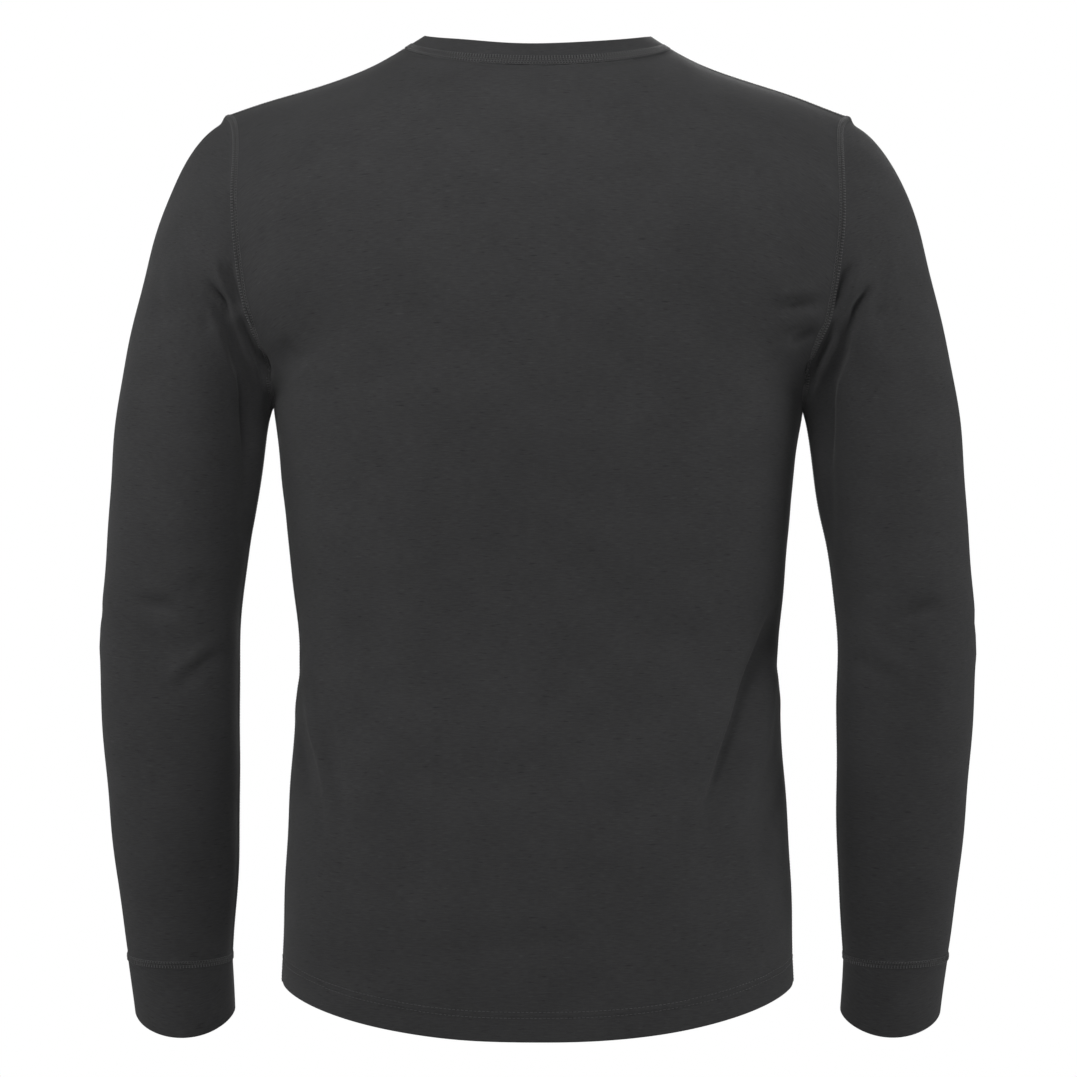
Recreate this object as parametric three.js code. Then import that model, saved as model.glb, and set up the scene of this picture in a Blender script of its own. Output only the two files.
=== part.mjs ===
import * as THREE from "three";

// A man's long-sleeved base layer top, in the hollow shape that it has when it is worn.
// Millimetres, +Z up, +X to the wearer's right, +Y the way the chest faces. The origin is on the
// centre line, level with the inner ends of the shoulder seams, where the wearer carries it.

// Driving dimensions
const jersey = 1.6; // wall of the single cloth
const doubled = 3; // wall of the folded neck band and cuffs
const seamGap = 0.3; // clear gap between two pieces that are sewn together
const hemAllowance = { height: 20, extra: 1.2 }; // cloth turned up inside the hem
const hemCurve = 1.65; // above 1, the hem's drop is gathered towards its middle
const bodyCorner = 2.3; // above 2, the body's sections are squarer than an ellipse
const armpit = { x: 188.8, z: -254 };
const sideHem = -666;
const neckHalfWidth = 95.5;
const neckBand = {
  back: { height: 17.4, lean: 18 }, // lean is in degrees from upright, towards the neck
  side: { height: 20, lean: 57 },
  front: { height: 18, lean: 36 },
};

// How finely the cloth is divided
const neckCells = 6; // from the centre line to the end of the shoulder seam
const shoulderCells = 6; // along the shoulder seam
const neckShare = 0.44; // share of a half panel's width that lies under the neck
const sideCells = 15; // up the side seam, with the hem's two
const lowArmholeCells = 8; // from the armpit to the armhole's widest point
const yokeCells = 7; // from there to the shoulder seam
const hemRoll = 3; // height over which the wall thins above the turned-up hem
const cuffCells = 4;
const bandCells = 3;

// The body's section up the side seam: half its width, and how far the back and chest stand out.
const bodySections = [
  { z: -700, halfWidth: 182.5, back: 114, front: 104 },
  { z: -600, halfWidth: 179.8, back: 110, front: 103 },
  { z: -540, halfWidth: 176.6, back: 105, front: 103 },
  { z: -480, halfWidth: 173.2, back: 98, front: 104 },
  { z: -430, halfWidth: 170.9, back: 95, front: 106 },
  { z: -380, halfWidth: 175, back: 98, front: 110 },
  { z: -330, halfWidth: 180, back: 105, front: 114 },
  { z: -290, halfWidth: 184, back: 111, front: 117 },
  { z: -254, halfWidth: 188.8, back: 115, front: 117 },
  { z: -200, halfWidth: 190, back: 118, front: 110 },
  { z: -150, halfWidth: 190, back: 118, front: 98 },
  { z: -110, halfWidth: 190, back: 114, front: 86 },
];

// Where the armhole seam runs, seen from behind, from the armpit up to its widest point.
const armholeSeam = [
  { z: -254, x: 188.8 },
  { z: -233, x: 190 },
  { z: -222, x: 192.5 },
  { z: -210, x: 197 },
  { z: -196, x: 202.5 },
  { z: -175, x: 206.5 },
  { z: -147, x: 210 },
];

// The shoulder seam, from the neck to the tip of the shoulder.
const shoulderSeam = [
  { x: 95.5, y: -5, z: 0 },
  { x: 115, y: -6, z: -12 },
  { x: 156, y: -8, z: -27 },
  { x: 222.4, y: -10, z: -49 },
];

// What differs between the two panels. Facing is which way along Y a panel looks, neckY and neckZ are
// the middle of its neck seam, and rise is how steeply its cloth meets that seam, in degrees.
const panels = {
  back: { facing: -1, depth: "back", neckY: -62, neckZ: -18, neckCurve: 1.3, neckSquare: 1,
    rise: 52, hemDrop: 30, armholeY: -78, yokeZ: -125 },
  front: { facing: 1, depth: "front", neckY: 66, neckZ: -88, neckCurve: 1.5, neckSquare: 0.87,
    rise: 60, hemDrop: 6, armholeY: 52, yokeZ: -150 },
};
const shoulderRise = 3; // degrees: the seam lies just behind the top of the shoulder
const shoulderRound = 0.44; // how flat the top of the shoulder is, from front to back
const yokeReach = { neck: 0.35, side: 0.5 }; // how far the yoke keeps on in the way that it starts
const sideHang = 2.5; // above 1, a row sinks towards the armhole mostly near its ends
const neckSlope = 31; // degrees: how steeply the shoulder falls away beside the neck
const neckLean = 0.6; // how far the panel's columns turn towards the neck at the shoulder seam's end
const seamStep = 0.01; // share of a panel's width over which the neck seam's direction is taken
const armholeFlare = 8.5; // how far the armhole leans out as it reaches the shoulder

// Rings of the wearer's right sleeve, from the armhole to the cuff seam. Out and in are its edges seen
// from behind; back and front are how far it stands from midY; lean is the ring's forward tilt in
// degrees, and tuck is how far the cloth is drawn in behind and before the armpit.
const sleeveRings = [
  { ring: 0, outX: 222.4, outZ: -49, inX: 188.8, inZ: -254, midY: -8, back: 70, front: 60, lean: 0, tuck: 0 },
  { ring: 1, outX: 240, outZ: -62, inX: 189.6, inZ: -257, midY: -8, back: 67, front: 58, lean: 0, tuck: 3 },
  { ring: 2, outX: 256, outZ: -86, inX: 190.6, inZ: -261.5, midY: -8, back: 64, front: 57, lean: 0, tuck: 8 },
  { ring: 3, outX: 270, outZ: -121, inX: 191.8, inZ: -268, midY: -8, back: 61, front: 57, lean: 0, tuck: 12 },
  { ring: 4, outX: 281, outZ: -164, inX: 193.6, inZ: -280, midY: -8, back: 58, front: 57, lean: 0, tuck: 14 },
  { ring: 5, outX: 291, outZ: -210, inX: 196.5, inZ: -300, midY: -9, back: 56, front: 56, lean: 0, tuck: 13 },
  { ring: 6, outX: 299.5, outZ: -257, inX: 201, inZ: -329, midY: -10, back: 55, front: 55, lean: 0, tuck: 9 },
  { ring: 7, outX: 304.5, outZ: -305, inX: 206.5, inZ: -357, midY: -11, back: 53, front: 53, lean: 0, tuck: 5 },
  { ring: 8, outX: 308, outZ: -357, inX: 210.5, inZ: -388, midY: -12, back: 51, front: 51, lean: 0, tuck: 2 },
  { ring: 9, outX: 311.3, outZ: -410, inX: 213, inZ: -424, midY: -12, back: 49, front: 49, lean: 2, tuck: 0 },
  { ring: 10, outX: 310.8, outZ: -463, inX: 213, inZ: -468, midY: -10, back: 48, front: 48, lean: 5, tuck: 0 },
  { ring: 11, outX: 307.5, outZ: -520, inX: 214, inZ: -520, midY: -5, back: 46, front: 46, lean: 6, tuck: 0 },
  { ring: 12, outX: 302, outZ: -580, inX: 214.5, inZ: -578, midY: 2, back: 42, front: 42, lean: 6, tuck: 0 },
  { ring: 13, outX: 293, outZ: -648, inX: 218.6, inZ: -648, midY: 10, back: 35, front: 35, lean: 6, tuck: 0 },
];
const cuffMouth = {
  outX: 288.9, outZ: -688, inX: 217.4, inZ: -688, midY: 16, back: 33, front: 33, lean: 14, tuck: 0,
};
const cuffDip = { depth: 8.5, curve: 1.5 }; // how much lower the cuff's edge hangs behind the hand
const ringsPerRow = 2; // rings of cloth for each row of the sleeve's table
const squareRings = 8; // rings over which the armhole's outline turns into an oval
const tuckPlace = { back: 142, front: 218, width: 30 }; // degrees round the sleeve from its outer edge
const smoothSeam = 0.3; // least dot product of two pieces' normals where one runs on into the other

// The largest folds, seen from behind or from the front: a soft ridge, or a trough where depth is
// negative, along a line from x1, z1 to x2, z2. Width is from its crest to where it dies away.
const folds = [
  { seen: "back", x1: 174, z1: -405, x2: 128, z2: -530, width: 17, depth: -6 },
  { seen: "back", x1: 175, z1: -445, x2: 143, z2: -560, width: 20, depth: 4 },
  { seen: "back", x1: -172, z1: -440, x2: -145, z2: -572, width: 15, depth: 3.5 },
  { seen: "back", x1: -160, z1: -440, x2: -128, z2: -556, width: 15, depth: -3 },
  { seen: "back", x1: -138, z1: -300, x2: -138, z2: -450, width: 17, depth: 2 },
  { seen: "back", x1: -118, z1: -350, x2: -118, z2: -440, width: 16, depth: -2.5 },
  { seen: "back", x1: 212, z1: -184, x2: 165, z2: -176, width: 13, depth: -3.5 },
  { seen: "back", x1: 194, z1: -212, x2: 150, z2: -218, width: 15, depth: -3.5 },
  { seen: "back", x1: -200, z1: -213, x2: -158, z2: -218, width: 18, depth: -4 },
  { seen: "back", x1: -60, z1: -640, x2: 62, z2: -640, width: 24, depth: -3 },
  { seen: "back", x1: 237, z1: -166, x2: 221, z2: -205, width: 9, depth: -5 },
  { seen: "back", x1: 254, z1: -155, x2: 240, z2: -200, width: 10, depth: -2.5 },
  { seen: "back", x1: -236, z1: -168, x2: -218, z2: -212, width: 9, depth: -5.5 },
  { seen: "back", x1: -256, z1: -157, x2: -238, z2: -205, width: 10, depth: -3 },
  { seen: "back", x1: 284, z1: -392, x2: 240, z2: -398, width: 20, depth: -3.5 },
  { seen: "back", x1: 226, z1: -404, x2: 266, z2: -446, width: 16, depth: 3 },
  { seen: "back", x1: -282, z1: -396, x2: -232, z2: -388, width: 20, depth: -3.5 },
  { seen: "back", x1: -218, z1: -408, x2: -264, z2: -450, width: 16, depth: 3 },
  { seen: "front", x1: 226, z1: -178, x2: 172, z2: -158, width: 14, depth: -4 },
  { seen: "front", x1: -228, z1: -172, x2: -166, z2: -150, width: 14, depth: -4 },
  { seen: "front", x1: 240, z1: -160, x2: 222, z2: -208, width: 12, depth: -4 },
  { seen: "front", x1: -238, z1: -166, x2: -220, z2: -204, width: 12, depth: -4 },
  { seen: "front", x1: 168, z1: -440, x2: 112, z2: -520, width: 19, depth: -4 },
  { seen: "front", x1: -168, z1: -425, x2: -124, z2: -500, width: 19, depth: -4 },
  { seen: "front", x1: 228, z1: -404, x2: 286, z2: -418, width: 16, depth: -4.5 },
  { seen: "front", x1: 228, z1: -432, x2: 278, z2: -436, width: 15, depth: -3.5 },
  { seen: "front", x1: -228, z1: -400, x2: -284, z2: -420, width: 16, depth: -4.5 },
  { seen: "front", x1: -230, z1: -436, x2: -280, z2: -440, width: 15, depth: -3.5 },
];

const foldEnd = 0.35; // share of a fold's height that is left at its ends
const foldTurn = { from: 0.05, to: 0.4 }; // how far the cloth faces a fold where it fades in

const charcoal = { color: 0x3a3a3b, roughness: 0.95, metalness: 0 };

const { clamp, lerp, smoothstep, degToRad } = THREE.MathUtils;
const sine = (degrees) => Math.sin(degToRad(degrees));
const cosine = (degrees) => Math.cos(degToRad(degrees));
const power = (value, exponent) => Math.sign(value) * Math.abs(value) ** exponent;

// Reads one column of a table on a smooth curve through its rows.
function read(table, by, name, at) {
  const last = table.length - 1;
  const upwards = table[last][by] > table[0][by] ? 1 : -1;
  let i = 0;
  while (i < last - 1 && (at - table[i + 1][by]) * upwards > 0) i += 1;
  const [p, q] = [table[i], table[i + 1]];
  const span = q[by] - p[by];
  const slope = (k) => {
    const [before, after] = [table[Math.max(k - 1, 0)], table[Math.min(k + 1, last)]];
    return ((after[name] - before[name]) / (after[by] - before[by])) * span;
  };
  const t = clamp((at - p[by]) / span, 0, 1);
  const [t2, t3] = [t * t, t * t * t];
  return (2 * t3 - 3 * t2 + 1) * p[name] + (t3 - 2 * t2 + t) * slope(i)
    + (3 * t2 - 2 * t3) * q[name] + (t3 - t2) * slope(i + 1);
}

// Body panels

// Shares of a half panel's width at which its columns stand, from one side to the other.
const columnShares = [];
for (let i = -shoulderCells - neckCells; i <= shoulderCells + neckCells; i += 1) {
  const [step, side] = [Math.abs(i), Math.sign(i)];
  const share = step <= neckCells
    ? (neckShare * step) / neckCells
    : neckShare + ((1 - neckShare) * (step - neckCells)) / shoulderCells;
  columnShares.push(side * share);
}

// Heights of a panel's rows up the side seam, with two close together at the top of the turned-up hem.
const hemTop = sideHem + hemAllowance.height;
const sideHeights = [sideHem, hemTop, hemTop + hemRoll];
for (let j = 1; j <= sideCells - 2; j += 1) {
  sideHeights.push(lerp(hemTop + hemRoll, armpit.z, j / (sideCells - 2)));
}

// A point on a section of the body. Its edge is the seam that ends it, and share goes from -1 to 1 across.
function sectionPoint(panel, share, edge, depth, z) {
  const edgeTurn = Math.acos(clamp((Math.abs(edge.y) / depth) ** (bodyCorner / 2), 0, 1));
  const halfWidth = edge.x / Math.sin(edgeTurn) ** (2 / bodyCorner);
  const turn = share * edgeTurn;
  const across = halfWidth * power(Math.sin(turn), 2 / bodyCorner);
  const out = depth * Math.cos(turn) ** (2 / bodyCorner);
  return new THREE.Vector3(-panel.facing * across, panel.facing * out, z);
}

// Below the armpit the panel ends at the side seam, and its hem hangs lower in the middle.
function sidePoint(panel, share, height) {
  const up = (height - sideHem) / (armpit.z - sideHem);
  const drop = panel.hemDrop * (1 - up) ** 2 * Math.cos((share * Math.PI) / 2) ** hemCurve;
  const z = height - drop;
  const edge = { x: read(bodySections, "z", "halfWidth", z), y: 0 };
  return sectionPoint(panel, share, edge, read(bodySections, "z", panel.depth, z), z);
}

// From the armpit to the armhole's widest point the seam is a quarter of an oval, seen from the side.
const widestZ = armholeSeam[armholeSeam.length - 1].z;
function lowArmholePoint(panel, share, step) {
  const angle = 90 * step;
  const seamZ = armpit.z + (widestZ - armpit.z) * (1 - cosine(angle));
  const edge = { x: read(armholeSeam, "z", "x", seamZ), y: panel.armholeY * sine(angle) };
  const middleZ = lerp(armpit.z, panel.yokeZ, step);
  const z = lerp(middleZ, seamZ, Math.abs(share) ** sideHang);
  return sectionPoint(panel, share, edge, read(bodySections, "z", panel.depth, middleZ), z);
}

// The panel's top edge: round the neck, then along the shoulder seam.
function topPoint(panel, share) {
  const size = Math.abs(share);
  const side = -panel.facing * Math.sign(share);
  const tip = shoulderSeam[shoulderSeam.length - 1];
  if (size > neckShare + 1e-9) {
    const x = lerp(neckHalfWidth, tip.x, (size - neckShare) / (1 - neckShare));
    return new THREE.Vector3(side * x, read(shoulderSeam, "x", "y", x), read(shoulderSeam, "x", "z", x));
  }
  const turn = 90 * (size / neckShare);
  const forward = Math.max(cosine(turn), 0);
  return new THREE.Vector3(
    side * neckHalfWidth * sine(turn) ** panel.neckSquare,
    lerp(shoulderSeam[0].y, panel.neckY, forward ** panel.neckSquare),
    panel.neckZ * forward ** panel.neckCurve,
  );
}

// The way the cloth faces at the neck seam: as the shoulder does at its end, and more to the back or
// the front towards the middle.
function neckNormal(panel, share) {
  const turn = 90 * (Math.abs(share) / neckShare);
  const side = -panel.facing * Math.sign(share);
  const along = topPoint(panel, share + seamStep).sub(topPoint(panel, share - seamStep)).normalize();
  return new THREE.Vector3(
    side * sine(neckSlope) * sine(turn),
    panel.facing * sine(panel.rise) * cosine(turn),
    cosine(neckSlope) * sine(turn) + cosine(panel.rise) * cosine(turn),
  ).projectOnPlane(along).normalize();
}

// Above the armhole's widest point each column curves over to the top edge.
function yokeColumn(panel, share) {
  const low = lowArmholePoint(panel, share, 1);
  const below = lowArmholePoint(panel, share, 1 - 1 / lowArmholeCells);
  const top = topPoint(panel, share);
  const length = low.distanceTo(top);
  const side = -panel.facing * Math.sign(share);
  const underNeck = clamp(1 - Math.abs(share) / neckShare, 0, 1);
  const overShoulder = clamp((Math.abs(share) - neckShare) / (1 - neckShare), 0, 1);
  const neckPart = smoothstep(underNeck, 0, 1);
  const rise = lerp(-panel.facing * shoulderRise, panel.rise, neckPart);
  const end = new THREE.Vector3(0, -panel.facing * cosine(rise), sine(rise));
  const lean = neckLean * cosine(90 * underNeck) * (1 - smoothstep(overShoulder, 0, 0.5));
  end.add(new THREE.Vector3(-side * cosine(neckSlope), 0, sine(neckSlope)).multiplyScalar(lean));
  if (underNeck > 0) end.projectOnPlane(neckNormal(panel, share));
  end.setLength(lerp(shoulderRound * Math.abs(top.y - low.y), yokeReach.neck * length, neckPart));
  end.x += side * armholeFlare * overShoulder;
  const start = low.clone().sub(below);
  start.setLength(lerp(yokeReach.side * Math.abs(top.z - low.z), yokeReach.neck * length, neckPart));
  return new THREE.CubicBezierCurve3(low, low.clone().add(start), top.clone().sub(end), top);
}

function bodyPanel(name) {
  const panel = panels[name];
  const rows = sideHeights.map((height) => columnShares.map((share) => sidePoint(panel, share, height)));
  for (let j = 1; j <= lowArmholeCells; j += 1) {
    rows.push(columnShares.map((share) => lowArmholePoint(panel, share, j / lowArmholeCells)));
  }
  const columns = columnShares.map((share) => yokeColumn(panel, share));
  for (let j = 1; j <= yokeCells; j += 1) rows.push(columns.map((curve) => curve.getPoint(j / yokeCells)));
  const wall = (row) => jersey + (row < 2 ? hemAllowance.extra : 0);
  return { name, rows, closed: false, sewn: { start: false, end: true, sides: true }, wall };
}

// Sleeves and cuffs

// The armhole from the tip of the shoulder, down the back, under the arm and up the front.
function armholeLoop(back, front) {
  const first = sideHeights.length - 1;
  const last = back.rows.length - 1;
  const end = columnShares.length - 1;
  const loop = [];
  for (let j = last; j > first; j -= 1) loop.push(back.rows[j][end]);
  for (let j = first; j < last; j += 1) loop.push(front.rows[j][0]);
  return loop;
}

// The middle of a sleeve ring, half of its width and the way square to it, seen from behind.
function ringAxes(ring) {
  const middle = new THREE.Vector2((ring.outX + ring.inX) / 2, (ring.outZ + ring.inZ) / 2);
  const half = new THREE.Vector2(ring.outX - ring.inX, ring.outZ - ring.inZ).multiplyScalar(0.5);
  return { middle, half, normal: new THREE.Vector2(-half.y, half.x).normalize() };
}

// A point of a ring: across from its inner to its outer edge, out from midY, and off its plane.
function ringPoint(ring, across, out, off) {
  const { middle, half, normal } = ringAxes(ring);
  const place = middle.addScaledVector(half, across).addScaledVector(normal, off);
  return new THREE.Vector3(place.x, ring.midY + out, place.y + out * sine(ring.lean));
}

function ovalOut(ring, angle) {
  const bump = (centre) => Math.exp(-(((angle - centre) / tuckPlace.width) ** 2));
  const tucked = ring.tuck * (bump(tuckPlace.back) - bump(tuckPlace.front));
  return -sine(angle) * (sine(angle) > 0 ? ring.back : ring.front) + tucked;
}

function ringAt(place) {
  const ring = {};
  for (const name of ["outX", "outZ", "inX", "inZ", "midY", "back", "front", "lean", "tuck"]) {
    ring[name] = read(sleeveRings, "ring", name, place);
  }
  return ring;
}

function sleeve(name, loop) {
  const first = sleeveRings[0];
  const { middle, half, normal } = ringAxes(first);
  const local = loop.map((point) => {
    const from = new THREE.Vector2(point.x, point.z).sub(middle);
    return { across: from.dot(half) / half.lengthSq(), out: point.y - first.midY, off: from.dot(normal) };
  });
  const rows = [loop.map((point) => point.clone())];
  const count = (sleeveRings.length - 1) * ringsPerRow;
  for (let k = 1; k <= count; k += 1) {
    const ring = ringAt(k / ringsPerRow);
    const oval = smoothstep(k, 0, squareRings);
    rows.push(local.map((from, j) => {
      const angle = (360 * j) / loop.length;
      const across = lerp(from.across, cosine(angle), oval);
      return ringPoint(ring, across, lerp(from.out, ovalOut(ring, angle), oval), from.off * (1 - oval));
    }));
  }
  return { name, rows, closed: true, sewn: { start: true, end: true, sides: false }, wall: () => jersey };
}

function cuff(name, sleeveSurface) {
  const seam = ringAt(sleeveRings.length - 1);
  const top = sleeveSurface.rows[sleeveSurface.rows.length - 1];
  const rows = [top.map((point) => point.clone())];
  for (let k = 1; k <= cuffCells; k += 1) {
    const down = k / cuffCells;
    const ring = {};
    for (const key of Object.keys(cuffMouth)) ring[key] = lerp(seam[key], cuffMouth[key], down);
    rows.push(top.map((from, j) => {
      const angle = (360 * j) / top.length;
      const point = ringPoint(ring, cosine(angle), ovalOut(ring, angle), 0);
      point.z -= cuffDip.depth * down * Math.max(sine(angle), 0) ** cuffDip.curve;
      return point;
    }));
  }
  return { name, rows, closed: true, sewn: { start: true, end: false, sides: false }, wall: () => doubled };
}

// The other side's sleeve or cuff: the same points with x turned round, and taken the other way about.
function mirrored(name, surface) {
  const turned = (row) => row.map((_, j) => {
    const point = row[(row.length - j) % row.length];
    return new THREE.Vector3(-point.x, point.y, point.z);
  });
  return { ...surface, name, rows: surface.rows.map(turned) };
}

// Neck band

function bandSurface(name, back, front) {
  const middleY = (panels.back.neckY + panels.front.neckY) / 2;
  const top = back.rows.length - 1;
  const [from, to] = [shoulderCells, shoulderCells + 2 * neckCells];
  const loop = [];
  for (let i = from; i < to; i += 1) loop.push(back.rows[top][i]);
  for (let i = from; i < to; i += 1) loop.push(front.rows[top][i]);
  const rows = [];
  for (let k = 0; k <= bandCells; k += 1) {
    rows.push(loop.map((point, j) => {
      const turn = 360 * (j / loop.length) - 90;
      const middle = cosine(turn) > 0 ? neckBand.back : neckBand.front;
      const height = lerp(middle.height, neckBand.side.height, sine(turn) ** 2);
      const lean = lerp(middle.lean, neckBand.side.lean, sine(turn) ** 2);
      const up = (height * k) / bandCells;
      const inward = new THREE.Vector3(-point.x, middleY - point.y, 0).normalize();
      return point.clone().addScaledVector(inward, up * sine(lean))
        .add(new THREE.Vector3(0, 0, up * cosine(lean)));
    }));
  }
  return { name, rows, closed: true, sewn: { start: true, end: false, sides: false }, wall: () => doubled };
}

// Cloth

// Names each point of a surface by its place, so that the pieces sewn together there can be matched.
function addKeys(surface) {
  const keyOf = (point) => point.toArray().map((value) => Math.round(value * 100)).join();
  surface.keys = surface.rows.map((row) => row.map(keyOf));
}

// The step between a point's neighbours along its row, and up its column.
function stepAcross({ rows, closed }, j, i) {
  const width = rows[j].length;
  const column = (k) => (closed ? (k + width) % width : clamp(k, 0, width - 1));
  return rows[j][column(i + 1)].clone().sub(rows[j][column(i - 1)]);
}

function stepUp({ rows }, j, i) {
  return rows[Math.min(j + 1, rows.length - 1)][i].clone().sub(rows[Math.max(j - 1, 0)][i]);
}

// Lists what each piece has at a place, for the pieces that meet there.
function gather(surfaces, values) {
  const meeting = new Map();
  surfaces.forEach((surface, n) => surface.keys.forEach((row, j) => row.forEach((key, i) => {
    if (!meeting.has(key)) meeting.set(key, []);
    meeting.get(key).push(values[n][j][i]);
  })));
  return meeting;
}

// Gives each surface its own normals, then shares them at the seams where two pieces run on smoothly.
function addNormals(surfaces) {
  const own = surfaces.map((surface) => surface.rows.map((row, j) => row.map((_, i) => (
    stepAcross(surface, j, i).cross(stepUp(surface, j, i)).normalize()
  ))));
  const meeting = gather(surfaces, own);
  surfaces.forEach((surface, n) => {
    surface.normals = own[n].map((row, j) => row.map((normal, i) => {
      const smooth = meeting.get(surface.keys[j][i]).filter((other) => other.dot(normal) > smoothSeam);
      return smooth.reduce((sum, other) => sum.add(other), new THREE.Vector3()).normalize();
    }));
  });
}

// How far a point stands out because of the folds that it is part of.
function foldHeight(point, normal) {
  let height = 0;
  for (const fold of folds) {
    const facing = fold.seen === "back" ? -normal.y : normal.y;
    const start = new THREE.Vector2(fold.x1, fold.z1);
    const line = new THREE.Vector2(fold.x2, fold.z2).sub(start);
    const from = new THREE.Vector2(point.x, point.z).sub(start);
    const along = clamp(from.dot(line) / line.lengthSq(), 0, 1);
    const off = from.addScaledVector(line, -along).length();
    if (facing > 0 && off < 2 * fold.width) {
      const tapered = lerp(foldEnd, 1, Math.sin(Math.PI * along));
      const faded = smoothstep(facing, foldTurn.from, foldTurn.to);
      height += fold.depth * tapered * faded * Math.exp(-2 * (off / fold.width) ** 2);
    }
  }
  return height;
}

function addFolds(surfaces) {
  for (const surface of surfaces) {
    surface.rows = surface.rows.map((row, j) => row.map((point, i) => {
      const normal = surface.normals[j][i];
      return point.clone().addScaledVector(normal, foldHeight(point, normal));
    }));
  }
}

// The way from a point on a sewn edge into its own cloth, square to the seam.
function wayIn(surface, j, i) {
  const { rows, normals, sewn } = surface;
  const [top, side] = [rows.length - 1, rows[j].length - 1];
  const way = new THREE.Vector3();
  const add = (step, sign) => way.addScaledVector(step.cross(normals[j][i]).normalize(), sign);
  if (sewn.start && j === 0) add(stepAcross(surface, j, i), -1);
  if (sewn.end && j === top) add(stepAcross(surface, j, i), 1);
  if (sewn.sides && i === 0) add(stepUp(surface, j, i), 1);
  if (sewn.sides && i === side) add(stepUp(surface, j, i), -1);
  return way;
}

// Moves each piece's sewn edges away from the pieces that they are sewn to, by half of the gap.
function openSeams(surfaces) {
  const ways = surfaces.map((surface) => (
    surface.rows.map((row, j) => row.map((_, i) => wayIn(surface, j, i)))
  ));
  const meeting = gather(surfaces, ways);
  surfaces.forEach((surface, n) => {
    surface.rows = surface.rows.map((row, j) => row.map((point, i) => {
      const own = ways[n][j][i];
      const others = meeting.get(surface.keys[j][i]).filter((way) => way !== own);
      if (own.lengthSq() === 0 || others.length === 0) return point;
      const apart = own.clone();
      for (const way of others) apart.addScaledVector(way, -1 / others.length);
      return point.clone().add(apart.setLength((seamGap / 2) * Math.max(own.length(), 1)));
    }));
  });
}

// A closed wall of cloth: the outer points, the inner ones under them, and the strips along the edges.
function clothMesh(surface) {
  const { name, rows: outer, closed, normals, wall } = surface;
  const [height, width] = [outer.length, outer[0].length];
  const inner = outer.map((row, j) => row.map((point, i) => (
    point.clone().addScaledVector(normals[j][i], -wall(j))
  )));
  const out = (j, i) => j * width + (i % width);
  const under = (j, i) => out(j, i) + height * width;
  const faces = [];
  const points = [...outer.flat(), ...inner.flat()];
  const positions = points.flatMap((point) => point.toArray());
  // Each quad is cut along its shorter diagonal, so that twisted ones stay close to the cloth.
  const quad = (a, b, c, d) => {
    const short = points[a].distanceTo(points[c]) < points[b].distanceTo(points[d]);
    faces.push(...(short ? [a, b, c, a, c, d] : [a, b, d, b, c, d]));
  };
  const columns = closed ? width : width - 1;
  for (let j = 0; j < height - 1; j += 1) {
    for (let i = 0; i < columns; i += 1) {
      quad(out(j, i), out(j, i + 1), out(j + 1, i + 1), out(j + 1, i));
      quad(under(j, i), under(j + 1, i), under(j + 1, i + 1), under(j, i + 1));
    }
  }
  for (let i = 0; i < columns; i += 1) {
    quad(under(0, i), under(0, i + 1), out(0, i + 1), out(0, i));
    quad(out(height - 1, i), out(height - 1, i + 1), under(height - 1, i + 1), under(height - 1, i));
  }
  for (let j = 0; !closed && j < height - 1; j += 1) {
    quad(out(j, 0), out(j + 1, 0), under(j + 1, 0), under(j, 0));
    quad(under(j, width - 1), under(j + 1, width - 1), out(j + 1, width - 1), out(j, width - 1));
  }
  const geometry = new THREE.BufferGeometry();
  geometry.setAttribute("position", new THREE.Float32BufferAttribute(positions, 3));
  geometry.setIndex(faces);
  geometry.computeVertexNormals();
  const mesh = new THREE.Mesh(geometry, new THREE.MeshStandardMaterial(charcoal));
  mesh.name = name;
  return mesh;
}

const back = bodyPanel("back");
const front = bodyPanel("front");
const rightSleeve = sleeve("sleeve_right", armholeLoop(back, front));
const rightCuff = cuff("cuff_right", rightSleeve);
const surfaces = [
  back,
  front,
  rightSleeve,
  mirrored("sleeve_left", rightSleeve),
  rightCuff,
  mirrored("cuff_left", rightCuff),
  bandSurface("neck_band", back, front),
];
surfaces.forEach(addKeys);
addNormals(surfaces);
addFolds(surfaces);
addNormals(surfaces);
openSeams(surfaces);

const top = new THREE.Group();
for (const surface of surfaces) top.add(clothMesh(surface));

export default top;
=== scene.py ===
import math
import bpy
import numpy as np
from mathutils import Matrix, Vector
from mathutils.bvhtree import BVHTree


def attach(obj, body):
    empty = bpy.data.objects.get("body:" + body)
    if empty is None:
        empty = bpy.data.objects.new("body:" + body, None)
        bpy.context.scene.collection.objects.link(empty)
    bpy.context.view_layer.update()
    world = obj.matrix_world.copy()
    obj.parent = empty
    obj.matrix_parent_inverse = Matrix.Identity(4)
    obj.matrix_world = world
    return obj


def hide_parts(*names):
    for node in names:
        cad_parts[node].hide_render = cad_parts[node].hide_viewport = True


# A men's charcoal base layer top, filled out as when it is worn. Every size is in millimetres until
# a mesh is made, +Z is up, the back faces -Y and +X is the wearer's right.
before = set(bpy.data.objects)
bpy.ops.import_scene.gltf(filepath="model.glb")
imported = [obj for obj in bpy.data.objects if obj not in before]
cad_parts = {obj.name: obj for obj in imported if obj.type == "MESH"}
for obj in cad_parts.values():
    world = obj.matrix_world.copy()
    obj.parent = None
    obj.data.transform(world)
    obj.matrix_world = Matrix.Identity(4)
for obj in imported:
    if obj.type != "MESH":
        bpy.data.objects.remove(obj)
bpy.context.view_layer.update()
mm = 0.001
print("stage: frame loaded")


# ---- numbers

def sineOf(degrees):
    return np.sin(np.radians(degrees))


def cosineOf(degrees):
    return np.cos(np.radians(degrees))


def mix(a, b, t):
    return a + (b - a) * t


def smooth(value, low=0.0, high=1.0):
    t = np.clip((value - low) / (high - low), 0, 1)
    return t * t * (3 - 2 * t)


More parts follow.
